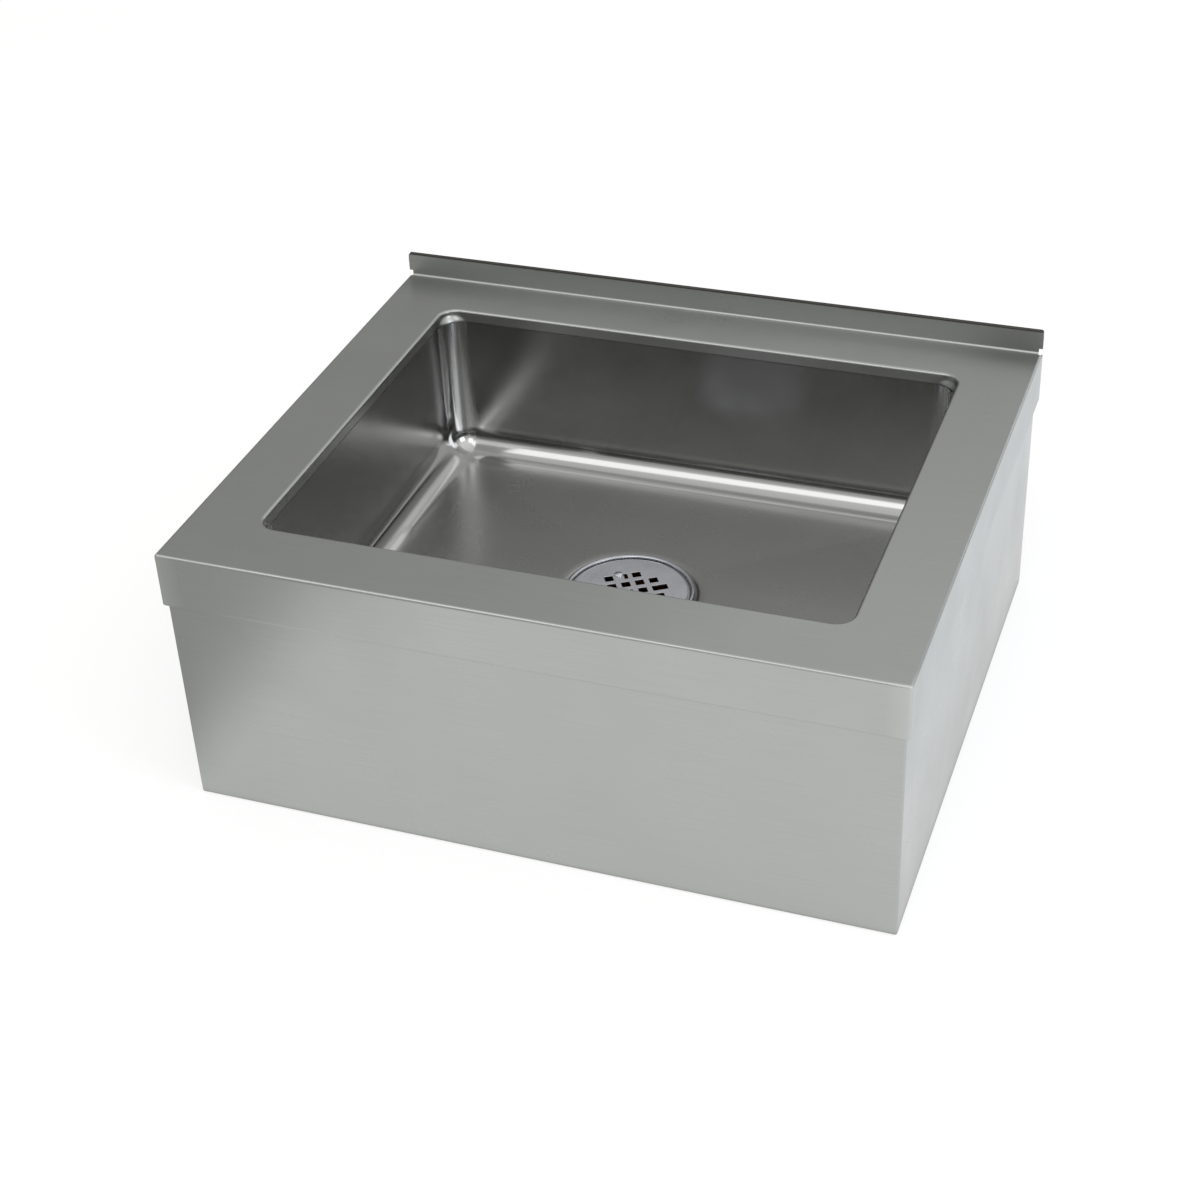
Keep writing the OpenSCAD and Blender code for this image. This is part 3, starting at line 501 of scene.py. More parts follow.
def bowlPatches(b):
    # rings down the wall: the half sizes and the corner radius are functions of the height
    wallZ = np.concatenate([
        [b["rimZ"]], np.linspace(b["rimZ"] - b["rimRow"], b["coveTop"] + b["coveRow"], 13), [b["coveTop"]]])
    wallIn = b["draft"] * (b["rimZ"] - wallZ) / (b["rimZ"] - b["coveTop"])
    turn = np.radians(np.linspace(0, 90, 25))[1:]
    coveIn = b["draft"] + b["cove"] * (1 - np.cos(turn))
    z = np.concatenate([wallZ, b["coveTop"] - b["cove"] * np.sin(turn)])
    inset = np.concatenate([wallIn, coveIn])
    corner = b["corner"] - np.clip(inset - b["draft"], 0, None)
    angles = np.linspace(0, 90, 19)
    # same counts at every ring, so that point j of one ring lies under point j of the last
    unit, normal = roundedLoop(1.0, 1.0, 0.0, angles, 24)
    sideX, sideY = b["halfX"] - inset - corner, b["halfY"] - inset - corner
    x = unit[:, 0] * sideX[:, None] + corner[:, None] * normal[:, 0]
    y = unit[:, 1] * sideY[:, None] + corner[:, None] * normal[:, 1]
    seam = running(np.stack([x[0], y[0]], 1))
    depth = running(np.stack([inset, z], 1))[:, None]
    # the coves and the vertical corners are polished, and their brighter tone is a painted highlight
    polished = np.maximum(z[:, None] < b["coveTop"] + weldStep, np.abs(normal).min(1) > 1e-6)
    wall = patch(x, y, z[:, None], seam, -depth, polished, flip=True)

    # floor: ruled from the cove's foot to the edge of the drain's recess, with the fall of a shallow cone
    angle = np.arctan2(y[-1] / sideY[-1], x[-1] / sideX[-1])
    t = np.linspace(0, 1, 28)[:, None]
    floorX = x[-1] + (b["seatOuter"] * np.cos(angle) - x[-1]) * t
    floorY = y[-1] + (b["seatOuter"] * np.sin(angle) - y[-1]) * t
    floorZ = b["floorEdge"] - (b["floorEdge"] - b["floorDrain"]) * t
    # the cove's foot is polished; past it the floor grows duller and darker in tone: painted shade
    dulled = np.where(t == 0, 1, -smooth(t / b["dullShadeRun"]))
    floor = patch(floorX, floorY, floorZ, floorX, floorY, dulled, flip=True)

    # recess: eases down round the flange and ends at the hole
    radius = np.concatenate([np.linspace(b["seatOuter"], b["seatInner"], 9), b["seatRows"], [b["hole"]]])[:, None]
    fall = smooth((b["seatOuter"] - radius) / (b["seatOuter"] - b["seatInner"]))
    seatX, seatY = radius * np.cos(angle), radius * np.sin(angle)
    seatZ = b["floorDrain"] - (b["floorDrain"] - b["seatZ"]) * fall
    # the recess is painted darker and duller: painted shade round the flange
    seat = patch(seatX, seatY, seatZ, seatX, seatY, -1, flip=True)
    return [wall, floor, seat]


bowlPiece = pieceFromPatches("bowl_drawn", bowlPatches(bowl), bowlSteelMaterial, bowl["sheet"], 40)
place(bowlPiece, "sink", ["bowl"])
print("bowl made,", len(bowlPiece.data.polygons), "faces")

# ---- skirt: four folded panels, mitred at the corners ----

skirt = {
    "faceX": 314.0, "faceY": 263.2, "top": deck["top"] - deck["sheet"], "sheet": deck["sheet"], "bend": deck["bend"],
    "foot": 25.0, "head": 19.0, "corner": 2.0, "webRows": (60, 120, 190),
    "anchorX": 300.0, "anchorY": 200.0, "anchor": 4.5,         # holes in the side panels' feet
}


def skirtPanel(s, half, turnDegrees):
    # closed section of the folded sheet (inset from the face, height), carried along the panel; each end
    # follows the rounded corner as far as its middle, and beyond the corner's centre a straight mitre
    bend, top, radius = s["bend"], s["top"], s["corner"]

    def skin(depth):
        # foot, bend, web, bend and head, at a depth below the outside
        levels = (bend + support, *s["webRows"], top - bend - support)
        return np.concatenate([
            [[s["foot"], depth], [bend + support, depth]], arcPoints((bend, bend), bend - depth, 270, 180, 8),
            [[depth, level] for level in levels], arcPoints((bend, top - bend), bend - depth, 180, 90, 8),
            [[bend + support, top - depth], [s["head"], top - depth]]])

    cornerCols, sideCols = 7, 23
    quarter = np.radians(np.linspace(0, 45, cornerCols))
    straight = np.linspace(-1, 1, sideCols + 2)[1:-1]
    along = np.concatenate([np.full(cornerCols, -1.0), straight, np.full(cornerCols, 1.0)]) * (half - radius)
    lean = np.concatenate([-quarter[::-1], np.zeros(sideCols), quarter])
    atEnd = np.abs(np.arange(len(along)) - (len(along) - 1) / 2) > sideCols / 2
    patches = []
    for depth, flip in ((0, True), (s["sheet"], False)):
        section = skin(depth)
        inset, height = section[:, :1], section[:, 1:]
        over = inset > radius
        left = radius - inset                   # what is left of the corner's radius at this depth
        x = np.where(over & atEnd, along + np.sign(along) * left, along + left * np.sin(lean))
        x = np.where(over & ~atEnd, along * (half - inset) / (half - radius), x)
        y = np.where(over, inset, radius - left * np.cos(lean))
        length = running(section)[:, None]
        patches.append(patch(x, y, height, along, length, flip=flip))
    outer, under = patches

    everyRow = slice(None)
    for where, flip in ((0, False), (-1, True), ((everyRow, 0), True), ((everyRow, -1), False)):
        # strip between the two skins, along one row or one column of both
        edge = {key: np.stack([outer[key][where], under[key][where]]) for key in ("points", "grain", "mark")}
        patches.append({**edge, "flip": flip})
    spin = radians(turnDegrees)
    turned = np.array([[np.cos(spin), -np.sin(spin)], [np.sin(spin), np.cos(spin)]])
    for part in patches:
        part["points"][..., :2] = part["points"][..., :2] @ turned.T
    return patches


def shift(patches, x, y):
    for part in patches:
        part["points"][..., 0] += x
        part["points"][..., 1] += y
    return patches


def drillFoot(panel, s, side):
    # round prisms, taller than the sheet, are taken out of the panel's foot
    above, below = 2 * s["sheet"], -s["sheet"]
    profile = np.array([[0, above], [s["anchor"], above], [s["anchor"], below], [0, below]])
    angles = np.linspace(0, 2 * np.pi, 41)
    prisms = [shift([revolve(profile, angles)], side * s["anchorX"], y)[0] for y in (-s["anchorY"], s["anchorY"])]
    drill = pieceFromPatches("drill", prisms, deckSteelMaterial)
    holes = panel.modifiers.new("anchors", "BOOLEAN")
    holes.object, holes.operation, holes.solver = drill, "DIFFERENCE", "EXACT"
    panel.data = bakedMesh(panel)
    panel.modifiers.clear()
    bpy.data.objects.remove(drill)
    finishMesh(panel.data, 35)


panels = {                                      # half length, turn in degrees, and place of the face's middle
    "front": (skirt["faceX"], 0, 0, -skirt["faceY"]),
    "back": (skirt["faceX"], 180, 0, skirt["faceY"]),
    "left": (skirt["faceY"], 270, -skirt["faceX"], 0),
    "right": (skirt["faceY"], 90, skirt["faceX"], 0),
}
for side, (half, turnDegrees, x, y) in panels.items():
    sheets = shift(skirtPanel(skirt, half, turnDegrees), x, y)
    panel = pieceFromPatches("skirt_panel_" + side, sheets, deckSteelMaterial)
    if side in ("left", "right"):
        drillFoot(panel, skirt, -1 if side == "left" else 1)
    place(panel, "sink", ["skirt_" + side])
print("skirt made")

# ---- drain: cast body, strainer plate, screws and what clamps them ----

drain = {
    "flange": 60.5, "rim": 5.0, "rimTop": 103.4, "underside": 98.2, "ledge": 99.6,
    "cup": 43.2, "cupBore": 40.6, "cupFoot": 56.2, "cupFloor": 59.2, "taper": 6.0,
    "spigot": 34.0, "spigotFoot": 42.2, "outlet": 26.25,
    "pitch": 2.2, "threadDepth": 1.0,
    "bossWidth": 11.0, "bossIn": 5.0, "bossOut": 11.2, "bossFoot": 85.6, "bossHole": 2.05,
    "bossDrop": 0.05, "bossEdge": (0.7, 0.2),
}
grid = {"turn": 32, "screws": {"back": (-3.0, 30.0), "front": (3.0, -30.0)}}     # degrees, and places in mm


def filleted(points, radius, steps=4):
    # closed outline; each corner becomes the parabola between a point on one side and one on the other
    most = 0.45                                 # share of a side that one corner may take
    points = np.asarray(points, float)
    before, after = np.roll(points, 1, 0) - points, np.roll(points, -1, 0) - points
    lengths = [np.linalg.norm(side, axis=1)[:, None] for side in (before, after)]
    first = points + before / lengths[0] * np.minimum(radius, most * lengths[0])
    last = points + after / lengths[1] * np.minimum(radius, most * lengths[1])
    t = np.linspace(0, 1, steps + 1)[None, :, None]
    curve = (1 - t) ** 2 * first[:, None] + 2 * t * (1 - t) * points[:, None] + t ** 2 * last[:, None]
    curve = curve.reshape(-1, 2)
    return np.concatenate([curve, curve[:1]])


def thread(radius, top, foot, angles, pitch, depth):
    # helical V thread: the radius falls from the crest by a triangle wave of height / pitch - angle / turn,
    # and the wave fades in over the first and the last pitch
    height = np.arange(top, foot, -pitch / 6)
    height = np.append(height, foot)[:, None]
    wave = (top - height) / pitch - angles / (2 * np.pi)
    fade = smooth((top - height) / pitch) * smooth((height - foot) / pitch)
    reach = radius - depth * fade * (1 - np.abs(2 * (wave % 1) - 1))
    return revolve(np.concatenate([np.full_like(height, radius), height], 1), angles, reach, 1.0)


def easedBlock(plan, bore, angles, top, foot, edge, mark=0.0):
    # a ring between two heights, with its outer radius given for each angle; its outer edges are eased in two steps
    wide, narrow = edge
    height = np.array([top, top, top - narrow, top - wide, foot + wide, foot + narrow, foot, foot, top])[:, None]
    inset = np.array([0, wide, narrow, 0, 0, narrow, wide, 0, 0])[:, None]
    inner = np.array([1, 0, 0, 0, 0, 0, 0, 1, 1])[:, None]
    radius = np.where(inner == 1, bore, plan - inset)
    return revolve(np.concatenate([np.full_like(height, bore), height], 1), angles, radius, mark)


def turnedPiece(name, patches, material, body, node, sharpAngle=35):
    piece = pieceFromPatches(name, patches, material, 0, sharpAngle, "bare")
    place(piece, body, [node])


def turnGrid(patches, spot=(0.0, 0.0)):
    # from a screw's own axis to its place in the turned grid
    turn = radians(grid["turn"])
    for part in patches:
        x, y = part["points"][..., 0] + spot[0], part["points"][..., 1] + spot[1]
        part["points"][..., 0] = x * np.cos(turn) - y * np.sin(turn)
        part["points"][..., 1] = x * np.sin(turn) + y * np.cos(turn)
    return patches


def bossPatches(d, spot):
    # plan: a rectangle with soft corners, as the radius of a superellipse about the screw's axis
    power = 8
    angles = np.linspace(0, 2 * np.pi, 73)
    ahead = np.where(np.sin(angles) * spot[1] > 0, d["bossOut"], d["bossIn"])
    across = np.abs(np.cos(angles) / (d["bossWidth"] / 2)) ** power + np.abs(np.sin(angles) / ahead) ** power
    block = easedBlock(across ** (-1 / power), d["bossHole"], angles, d["ledge"] - d["bossDrop"], d["bossFoot"],
                       d["bossEdge"], 1.0)
    return turnGrid([block], spot)


def drainPatches(d):
    angles = np.linspace(0, 2 * np.pi, 145)
    centre = (d["flange"] - d["rim"] / 2, d["rimTop"] - d["rim"] / 2)
    throat = d["cupFloor"] + d["taper"]
    top = np.concatenate([
        [[d["cupBore"], throat], [d["cupBore"], d["ledge"] - 0.5], [d["cupBore"] + 0.15, d["ledge"] - 0.15],
         [d["cupBore"] + 0.5, d["ledge"]], [d["flange"] - d["rim"] - 0.5, d["ledge"]],
         [d["flange"] - d["rim"] - 0.1, d["ledge"] + 0.3]],
        arcPoints(centre, d["rim"] / 2, 180, 0, 16),
        [[d["flange"], d["underside"] + 0.3], [d["flange"] - 0.3, d["underside"]], [d["cup"], d["underside"]]]])
    inCup = top[:, :1] < d["cup"] + 1           # inside the cup the plating ends just below the ledge
    bare = np.where(inCup, growing(-top[:, 1:], (0.3 - d["ledge"], 0.3)), 0)
    taper = np.array([[d["cup"], d["cupFoot"] + d["taper"]], [d["spigot"], d["cupFoot"]]])
    bore = np.array([[d["spigot"], d["spigotFoot"]], [d["outlet"] + 0.4, d["spigotFoot"]],
                     [d["outlet"], d["spigotFoot"] + 0.4], [d["outlet"], d["cupFloor"] - 0.5],
                     [d["outlet"] + 0.6, d["cupFloor"] + 0.25], [d["cupBore"], throat]])
    return [revolve(top, angles, mark=bare),
            thread(d["cup"], d["underside"], taper[0, 1], angles, d["pitch"], d["threadDepth"]),
            revolve(taper, angles, mark=1.0),
            thread(d["spigot"], d["cupFoot"], d["spigotFoot"], angles, d["pitch"], d["threadDepth"]),
            revolve(bore, angles, mark=1.0),
            *[part for spot in grid["screws"].values() for part in bossPatches(d, spot)]]


turnedPiece("drain_casting", drainPatches(drain), platedMaterial, "sink", "drain_body")

strainer = {
    "radius": 53.3, "foot": 99.6, "top": 101.2, "edge": 0.3,
    "hole": 8.0, "holeCorner": 0.6, "pitch": 13.0, "last": 2, "hook": 6.0,
    "partWidth": 3.5, "partAside": 2.9, "screwHole": 2.05,
}


def strainerOutlines(s):
    # the disc, the square openings without the grid's corners, the two lengthened ones and the two part ones
    last, pitch, hole = s["last"], s["pitch"], s["hole"]
    boxes = [(i * pitch, j * pitch, hole, hole)
             for i in range(-last, last + 1) for j in range(-last, last + 1)
             if abs(i) + abs(j) < 2 * last and (i * j != 0 or abs(i + j) < last)]
    for side in (-1, 1):
        boxes.append((side * (last * pitch + s["hook"] / 2), 0, hole + s["hook"], hole))
        boxes.append((side * s["partAside"], side * last * pitch, s["partWidth"], hole))
    corner = np.array([(-1, -1), (1, -1), (1, 1), (-1, 1)]) / 2
    outlines = [filleted(corner * box[2:] + box[:2], s["holeCorner"], 3)[:-1] for box in boxes]
    outlines += [arcPoints(spot, s["screwHole"], 0, 345, 23) for spot in grid["screws"].values()]
    turn = radians(grid["turn"])
    turned = np.array([[np.cos(turn), np.sin(turn)], [-np.sin(turn), np.cos(turn)]])
    return [arcPoints((0, 0), s["radius"], 357.5, 0, 143)] + [outline @ turned for outline in outlines]


def makeStrainer(s):
    # flat curve with its holes, filled, given the plate's thickness and rolled edges, then made a mesh
    curve = bpy.data.curves.new("strainer_outline", "CURVE")
    curve.dimensions, curve.fill_mode = "2D", "BOTH"
    curve.bevel_depth, curve.bevel_resolution = s["edge"] * metre, 2
    curve.offset = -s["edge"] * metre
    curve.extrude = ((s["top"] - s["foot"]) / 2 - s["edge"]) * metre
    for outline in strainerOutlines(s):
        spline = curve.splines.new("POLY")
        spline.points.add(len(outline) - 1)
        flat = np.concatenate([outline * metre, np.zeros((len(outline), 1)), np.ones((len(outline), 1))], 1)
        spline.points.foreach_set("co", flat.reshape(-1))
        spline.use_cyclic_u = True
    former = bpy.data.objects.new("strainer_outline", curve)
    scene.collection.objects.link(former)
    mesh = bpy.data.meshes.new_from_object(former.evaluated_get(bpy.context.evaluated_depsgraph_get()))
    bpy.data.objects.remove(former)
    bpy.data.curves.remove(curve)
    mesh.transform(Matrix.Translation((0, 0, (s["top"] + s["foot"]) / 2 * metre)))
    shell = bmesh.new()
    shell.from_mesh(mesh)
    bmesh.ops.remove_doubles(shell, verts=shell.verts, dist=weldStep * metre)
    bmesh.ops.recalc_face_normals(shell, faces=shell.faces)
    shell.to_mesh(mesh)
    shell.free()
    mesh.name = "strainer_grid"
    mesh.materials.clear()
    mesh.materials.append(plateMaterial)
    piece = bpy.data.objects.new("strainer_grid", mesh)
    scene.collection.objects.link(piece)
    finishMesh(mesh, 50)
    level = 0.999                               # upright part of a normal past which a face is shaded flat
    for face in mesh.polygons:
        face.use_smooth = abs(face.normal.z) < level
    place(piece, "strainer", ["strainer_plate"])


makeStrainer(strainer)

screw = {
    "head": 4.2, "side": 0.7, "height": 1.9, "slot": 1.0, "slotFloor": 1.0, "edge": 0.1,
    "shank": 2.0, "length": 11.0, "pitch": 0.7, "threadDepth": 0.3, "seat": 101.2, "tip": 0.8, "tipIn": 0.7,
}


def screwPatches(s, spot):
    # head: rows run along the slot, columns across it; the dome's height is side + (height - side) *
    # sqrt(1 - r^2 / R^2), and the slot takes it down to its floor
    half = s["slot"] / 2
    clear, step = 0.15, 1e-3                    # no column this near the slot but its own; the walls' width in plan
    y = s["head"] * np.sin(np.radians(np.linspace(-90, 90, 41)))
    walls = [-half, -half, step - half, half - step, half, half]
    y = np.sort(np.concatenate([y[np.abs(y) > half + clear], walls]))
    t = np.sin(np.radians(np.linspace(-90, 90, 25)))[:, None]
    x = t * np.sqrt(np.clip(s["head"] ** 2 - y ** 2, 0, None))
    dome = s["side"] + (s["height"] - s["side"]) * np.sqrt(np.clip(1 - (x ** 2 + y ** 2) / s["head"] ** 2, 0, 1))
    inSlot = np.abs(np.arange(len(y)) - (len(y) - 1) / 2) < 2
    z = np.where(inSlot, np.minimum(dome, s["slotFloor"]), dome)
    z[[0, -1]] = s["side"]
    head = patch(x, y, s["seat"] + z, x, y)
    # side, underside and shank: the head's own edge, taken anticlockwise, carried down
    edgeX = np.concatenate([x[-1], x[0, ::-1][1:]])
    edgeY = np.concatenate([y, y[::-1][1:]])
    radius = np.array([s["head"], s["head"], s["head"] - s["edge"], s["shank"]])[:, None] / s["head"]
    drop = s["seat"] + np.array([s["side"], s["edge"], 0, 0])[:, None]
    rim = patch(edgeX * radius, edgeY * radius, drop, edgeX, drop)
    angles = np.arctan2(edgeY, edgeX)
    depth = np.arange(0, s["length"] - s["tip"], s["pitch"] / 5)[:, None]
    wave = depth / s["pitch"] - angles / (2 * np.pi)
    crest = s["shank"] - s["threadDepth"] * smooth(depth / s["pitch"]) * (1 - np.abs(2 * (wave % 1) - 1))
    shank = patch(edgeX / s["head"] * crest, edgeY / s["head"] * crest, s["seat"] - depth, edgeX, depth)
    end = np.concatenate([crest[-1:], np.full_like(crest[:1], s["shank"] - s["tipIn"]), np.zeros_like(crest[:1])])
    fall = s["seat"] - np.array([depth[-1, 0], s["length"], s["length"]])[:, None]
    tip = patch(edgeX / s["head"] * end, edgeY / s["head"] * end, fall, edgeX, fall)
    return turnGrid([head, rim, shank, tip], spot)


for end, spot in grid["screws"].items():
    turnedPiece("screw_slotted_" + end, screwPatches(screw, spot), screwMaterial, "screw_" + end,
                "strainer_screw_" + end, 40)

clamp = {
    # rings: outside radius, bore, top, foot and how far their edges are eased
    "putty": (59.5, 44.5, 98.2, 97.6, 0.25), "gasket": (57.0, 43.4, 96.0, 93.0, 0.5),
    "fibre": (54.0, 43.4, 93.0, 92.0, 0.2), "washer": (33.5, 26.25, 42.2, 39.7, 0.4),
    "nutTop": 92.0, "nutFoot": 84.0, "nutRadius": 51.0, "nutEdge": (0.9, 0.25), "play": 0.05,
    "lugs": 6, "lugHalf": 4.5, "lugEnd": 57.0,
    "hexFlat": 38.05, "hexTop": 50.2, "hexFoot": 33.2, "hexBore": 30.5, "collar": 37.2, "hexThread": 34.05,
    "hexCone": (0.2, 1.8),                      # the nut's ends: what stands past the flats, and the cone's slope
    "tubeRadius": 30.15, "neck": 29.75, "neckFoot": 32.2, "tubeFoot": 12.0, "tubeFlange": 33.5,
}


def ringPatches(outer, inner, top, foot, edge):
    return [revolve(filleted([[inner, top], [outer, top], [outer, foot], [inner, foot]], edge),
                    np.linspace(0, 2 * np.pi, 121))]


def locknutPatches(c):
    # plan radius about each lug's middle: the lug's flat end, its parallel sides, or the nut's own round
    lugTurn = 2 * np.pi / c["lugs"]
    steps = np.radians([0, 2, 4.2, 4.53, 5.07, 6, 9, 13, 17, 21, 25, 30])       # closer at the lug's corners
    steps = np.concatenate([-steps[::-1], steps[1:]])[:-1]
    angles = (steps + lugTurn * np.arange(c["lugs"])[:, None]).reshape(-1)
    angles = np.append(angles, angles[0] + 2 * np.pi)
    aside = (angles + lugTurn / 2) % lugTurn - lugTurn / 2
    side = c["lugHalf"] / np.maximum(np.abs(np.sin(aside)), 0.01)
    plan = np.minimum(np.maximum(c["nutRadius"], side), c["lugEnd"] / np.cos(aside))
    return [easedBlock(plan, drain["cup"] + c["play"], angles, c["nutTop"], c["nutFoot"], c["nutEdge"])]


def hexNutPatches(c):
    # plan radius of a hexagon, cut by a cone at each end; then the collar's bore and the thread's
    angles = np.linspace(0, 2 * np.pi, 145)
    plan = c["hexFlat"] / np.cos((angles % (np.pi / 3)) - np.pi / 6)
    height = np.linspace(c["hexTop"], c["hexFoot"], 25)[:, None]
    fromEnd = np.minimum(c["hexTop"] - height, height - c["hexFoot"])
    past, slope = c["hexCone"]
    outer = np.minimum(plan, c["hexFlat"] + past + slope * fromEnd)
    inside = np.array([[c["hexFlat"], c["hexFoot"]], [c["hexBore"] + 0.4, c["hexFoot"]],
                       [c["hexBore"], c["hexFoot"] + 0.4], [c["hexBore"], c["collar"]],
                       [c["hexThread"], c["collar"]], [c["hexThread"], c["hexTop"]], [c["hexFlat"], c["hexTop"]]])
    across = np.where(inside[:, :1] < c["hexFlat"], inside[:, :1], outer[0])
    profile = np.concatenate([np.full_like(height, c["hexFlat"]), height], 1)
    return [revolve(profile, angles, outer), revolve(inside, angles, across)]


def tailpiecePatches(c):
    flangeFoot, flangeTop = c["collar"], c["washer"][3]
    outline = [[drain["outlet"], flangeTop], [c["tubeFlange"], flangeTop], [c["tubeFlange"], flangeFoot],
               [c["neck"], flangeFoot], [c["neck"], c["neckFoot"]], [c["tubeRadius"], c["neckFoot"]],
               [c["tubeRadius"], c["tubeFoot"]], [drain["outlet"], c["tubeFoot"]]]
    return [revolve(filleted(outline, 0.3), np.linspace(0, 2 * np.pi, 121))]


turnedPiece("putty_bed", ringPatches(*clamp["putty"]), puttyMaterial, "sink", "putty_ring")
turnedPiece("gasket_rubber_ring", ringPatches(*clamp["gasket"]), rubberMaterial, "sink",
            "body_gasket")
turnedPiece("fibre_ring", ringPatches(*clamp["fibre"]), fibreMaterial, "sink", "friction_ring")
turnedPiece("tail_gasket", ringPatches(*clamp["washer"]), rubberMaterial, "sink", "tail_washer")
turnedPiece("locknut_lugged", locknutPatches(clamp), brassCastMaterial, "sink", "locknut")
turnedPiece("coupling_nut_hex", hexNutPatches(clamp), brassCastMaterial, "sink", "coupling_nut")
turnedPiece("tailpiece_tube", tailpiecePatches(clamp), brassTubeMaterial, "sink", "tailpiece")
print("drain made")

# ---- CAD nodes that keep their shape ----

keptFinishes = {"corner_angle_": millSteelMaterial, "deck_channel_": millSteelMaterial, "sound_pad_": padMaterial}
for name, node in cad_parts.items():
    for start, material in keptFinishes.items():
        if name.startswith(start):
            node.data.materials.clear()
            node.data.materials.append(material)
print("CAD nodes dressed")

# ---- stage: floor, light and camera ----

stage = {
    "floorHalf": 9.0, "floorZ": -0.0002,        # just under the sink's foot, so that the two don't coincide
    "floorColour": "#aaaaa9",
    "floorLift": 0.66,                          # what the floor adds where the camera or a gloss sees it
    # a painted contact shadow, where a gloss sees the floor: darker beside the sink, and without that light under it;
    # the third number leaves height out
    "contactHalf": (0.3120, 0.2612, 10.0), "contactBlur": 0.008, "contactLevel": 0.40,
    "floorRight": (1.02, 1.08, 1.16, 1), "rightFrom": 0.31, "rightTo": 0.42,     # tint of that light on the right
    "shadeEdge": -0.36, "shadeBlur": 0.06, "shadeLevel": 0.24,   # left of this a gloss sees the floor darker
    "lamps": {                                  # power in W, size and place in m, all aimed at the bowl
        "high_left_softbox": (4.1, (1.5, 0.85), (-0.63, -1.03, 1.78), "#ffffff"),
        "front_softbox": (2.9, (0.75, 0.8), (0.42, -1.43, 1.50), "#ffffff"),
        "right_softbox": (6.4, (0.9, 0.7), (1.87, -0.79, 1.15), "#f4f8ff"),
        "back_right_softbox": (1.9, (0.6, 0.6), (1.25, 2.10, 1.00), "#f4f8ff"),
        "back_softbox": (0.8, (1.1, 0.7), (-0.20, 2.05, 2.25), "#ffffff"),
    },
    "skyLevel": 2.08,
    "sky": ((0.0, 0.26), (0.10, 0.26), (0.20, 0.20), (0.42, 0.27), (0.60, 0.40), (0.70, 0.43), (1.0, 0.46)),
    "skyTilt": (0.45, -0.22),                   # the sky brightens to the right and to the front
}


def makeFloor(s):
    half, z = s["floorHalf"], s["floorZ"]
    mesh = bpy.data.meshes.new("floor")
    mesh.from_pydata([(-half, -half, z), (half, -half, z), (half, half, z), (-half, half, z)], [], [(0, 1, 2, 3)])
    floor = bpy.data.objects.new("floor", mesh)
    scene.collection.objects.link(floor)
    material = bpy.data.materials.new("studio_floor_painted_white")
    material.use_nodes = True
    tree = material.node_tree
    tree.nodes.clear()
    seen = addNode(tree, "ShaderNodeLightPath")
    either = addNode(tree, "ShaderNodeMath", {
        0: seen.outputs["Is Camera Ray"], 1: seen.outputs["Is Glossy Ray"]}, operation="MAXIMUM")
    seenPlainly = addNode(tree, "ShaderNodeMath", {
        0: either.outputs[0], 1: seen.outputs["Is Transmission Ray"]}, operation="MAXIMUM")
    spot = addNode(tree, "ShaderNodeTexCoord").outputs["Object"]
    parts = addNode(tree, "ShaderNodeSeparateXYZ", {0: spot})
    shade = addNode(tree, "ShaderNodeMapRange", {
        "Value": parts.outputs["X"], "From Min": s["shadeEdge"] - s["shadeBlur"],
        "From Max": s["shadeEdge"] + s["shadeBlur"], "To Min": s["shadeLevel"], "To Max": 1.0},
        interpolation_type="SMOOTHSTEP")
    unsigned = addNode(tree, "ShaderNodeVectorMath", {0: spot}, operation="ABSOLUTE")
    beyond = addNode(tree, "ShaderNodeVectorMath", {
        0: unsigned.outputs[0], 1: s["contactHalf"]}, operation="SUBTRACT")
    outside = addNode(tree, "ShaderNodeVectorMath", {0: beyond.outputs[0], 1: (0, 0, 0)}, operation="MAXIMUM")
    distance = addNode(tree, "ShaderNodeVectorMath", {0: outside.outputs[0]}, operation="LENGTH")
    contact = addNode(tree, "ShaderNodeMapRange", {
        "Value": distance.outputs["Value"], "From Min": 0.0, "From Max": s["contactBlur"],
        "To Min": s["contactLevel"], "To Max": 1.0}, interpolation_type="SMOOTHSTEP")
    shaded = addNode(tree, "ShaderNodeMath", {0: shade.outputs[0], 1: contact.outputs[0]}, operation="MULTIPLY")
    kept = addNode(tree, "ShaderNodeMath", {
        0: shaded.outputs[0], 1: seen.outputs["Is Camera Ray"]}, operation="MAXIMUM")
    outdoors = addNode(tree, "ShaderNodeMath", {0: distance.outputs["Value"], 1: 0.0}, operation="GREATER_THAN")
    plainly = addNode(tree, "ShaderNodeMath", {
        0: seenPlainly.outputs[0], 1: outdoors.outputs[0]}, operation="MULTIPLY")
    gain = addNode(tree, "ShaderNodeMath", {0: plainly.outputs[0], 1: s["floorLift"]}, operation="MULTIPLY")
    lift = addNode(tree, "ShaderNodeMath", {0: gain.outputs[0], 1: kept.outputs[0]}, operation="MULTIPLY")
    rightwards = addNode(tree, "ShaderNodeMapRange", {
        "Value": parts.outputs["X"], "From Min": s["rightFrom"], "From Max": s["rightTo"]})
    tint = addNode(tree, "ShaderNodeMix", {
        0: rightwards.outputs[0], 6: (1, 1, 1, 1), 7: s["floorRight"]}, data_type="RGBA")
    paint = addNode(tree, "ShaderNodeBsdfDiffuse", {"Color": linear(s["floorColour"])})
    glow = addNode(tree, "ShaderNodeEmission", {"Color": tint.outputs[2], "Strength": lift.outputs[0]})
    both = addNode(tree, "ShaderNodeAddShader", {0: paint.outputs[0], 1: glow.outputs[0]})
    addNode(tree, "ShaderNodeOutputMaterial", {"Surface": both.outputs[0]})
    mesh.materials.append(material)


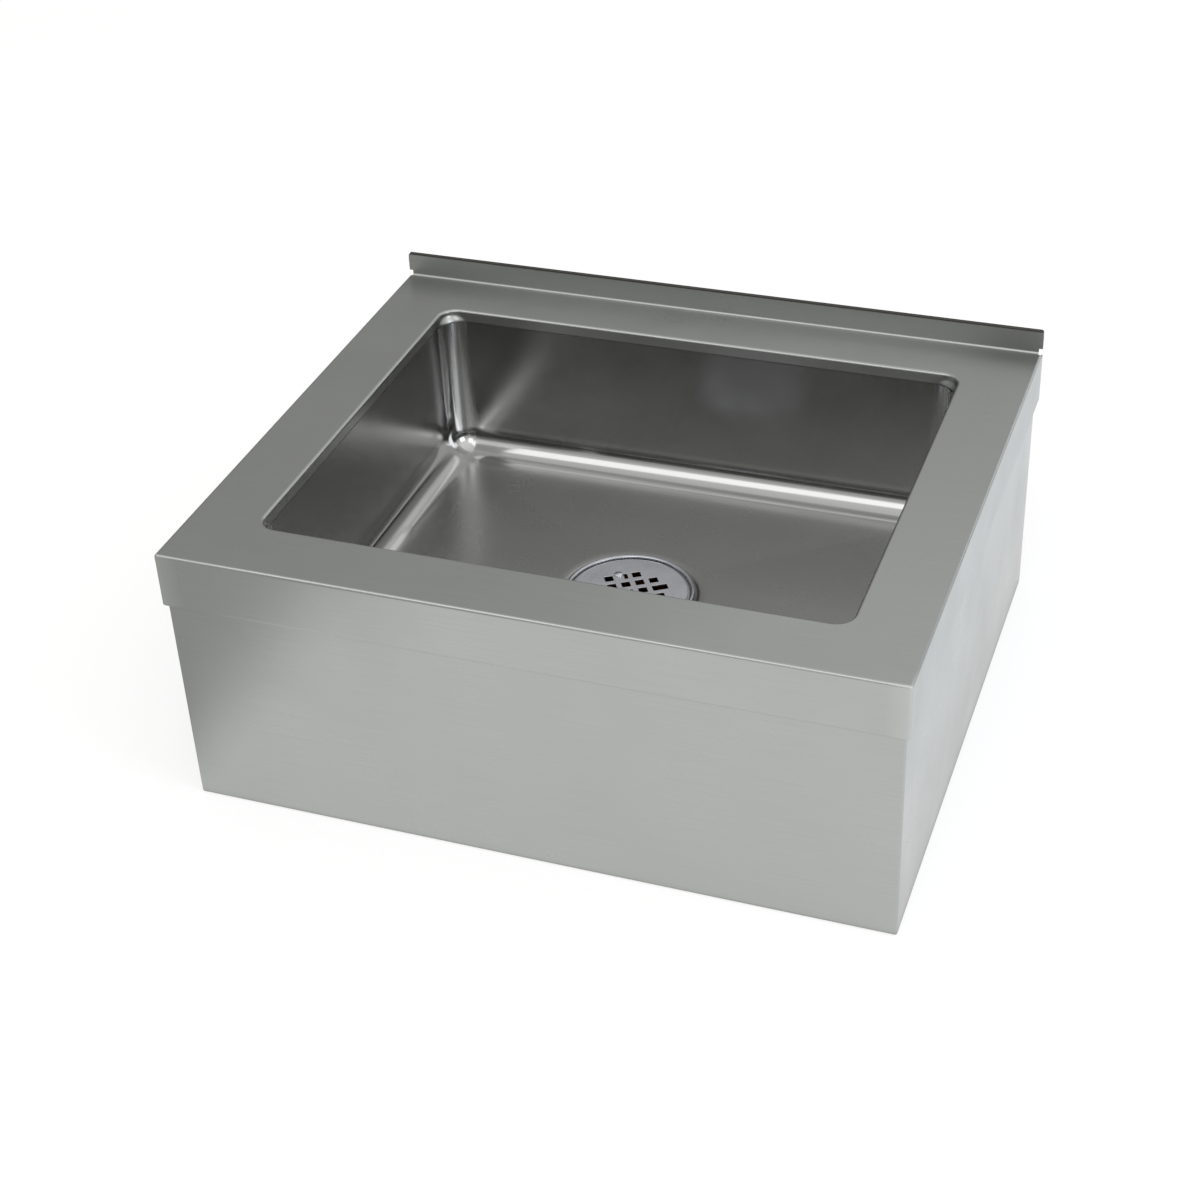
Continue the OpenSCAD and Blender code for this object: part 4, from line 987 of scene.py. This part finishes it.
def makeSky(s):
    # dim at the horizon, dimmer just above it and a bright ceiling; height is the direction's z. The camera
    # sees plain white instead
    world = bpy.data.worlds.new("studio")
    scene.world = world
    world.use_nodes = True
    tree = world.node_tree
    tree.nodes.clear()
    direction = addNode(tree, "ShaderNodeTexCoord").outputs["Generated"]
    parts = addNode(tree, "ShaderNodeSeparateXYZ", {0: direction})
    ramp = addNode(tree, "ShaderNodeValToRGB", {0: parts.outputs["Z"]})
    ramp.color_ramp.interpolation = "EASE"
    points = ramp.color_ramp.elements
    while len(points) < len(s["sky"]):
        points.new(0.5)
    for point, (height, level) in zip(points, s["sky"]):
        point.position = height
        point.color = (level, level, level, 1)
    aside = addNode(tree, "ShaderNodeVectorMath", {0: direction, 1: (*s["skyTilt"], 0.0)}, operation="DOT_PRODUCT")
    level = addNode(tree, "ShaderNodeMath", {
        0: aside.outputs["Value"], 1: s["skyLevel"], 2: s["skyLevel"]}, operation="MULTIPLY_ADD")
    glow = addNode(tree, "ShaderNodeBackground", {"Color": ramp.outputs[0], "Strength": level.outputs[0]})
    white = addNode(tree, "ShaderNodeBackground", {"Color": (1, 1, 1, 1), "Strength": 1.0})
    seen = addNode(tree, "ShaderNodeLightPath")
    either = addNode(tree, "ShaderNodeMixShader", {
        0: seen.outputs["Is Camera Ray"], 1: glow.outputs[0], 2: white.outputs[0]})
    addNode(tree, "ShaderNodeOutputWorld", {"Surface": either.outputs[0]})


def makeLamps(s):
    for name, (power, size, spot, colour) in s["lamps"].items():
        data = bpy.data.lights.new(name, "AREA")
        data.shape = "RECTANGLE"
        data.size, data.size_y = size
        data.energy = power
        data.color = linear(colour)[:3]
        lamp = bpy.data.objects.new(name, data)
        lamp.location = spot
        lamp.visible_camera = False
        lamp.rotation_euler = Vector(spot).to_track_quat("Z", "Y").to_euler()
        scene.collection.objects.link(lamp)


cameraView = {                                  # fitted to the sink's corners; place in m, then the camera's axes
    "lens": 66.08, "place": (0.5684, -1.5517, 1.2414),
    "right": (0.94203, 0.33323, -0.03941), "up": (-0.15986, 0.54898, 0.82043), "back": (0.29502, -0.76656, 0.57042),
}


def makeCamera(c):
    data = bpy.data.cameras.new("camera")
    data.lens = c["lens"]
    data.sensor_width = 36.0
    data.clip_end = 60.0
    camera = bpy.data.objects.new("camera", data)
    turned = Matrix((c["right"], c["up"], c["back"])).transposed().to_4x4()
    camera.matrix_world = Matrix.Translation(c["place"]) @ turned
    scene.collection.objects.link(camera)
    scene.camera = camera


makeFloor(stage)
makeSky(stage)
makeLamps(stage)
makeCamera(cameraView)
print("stage set")
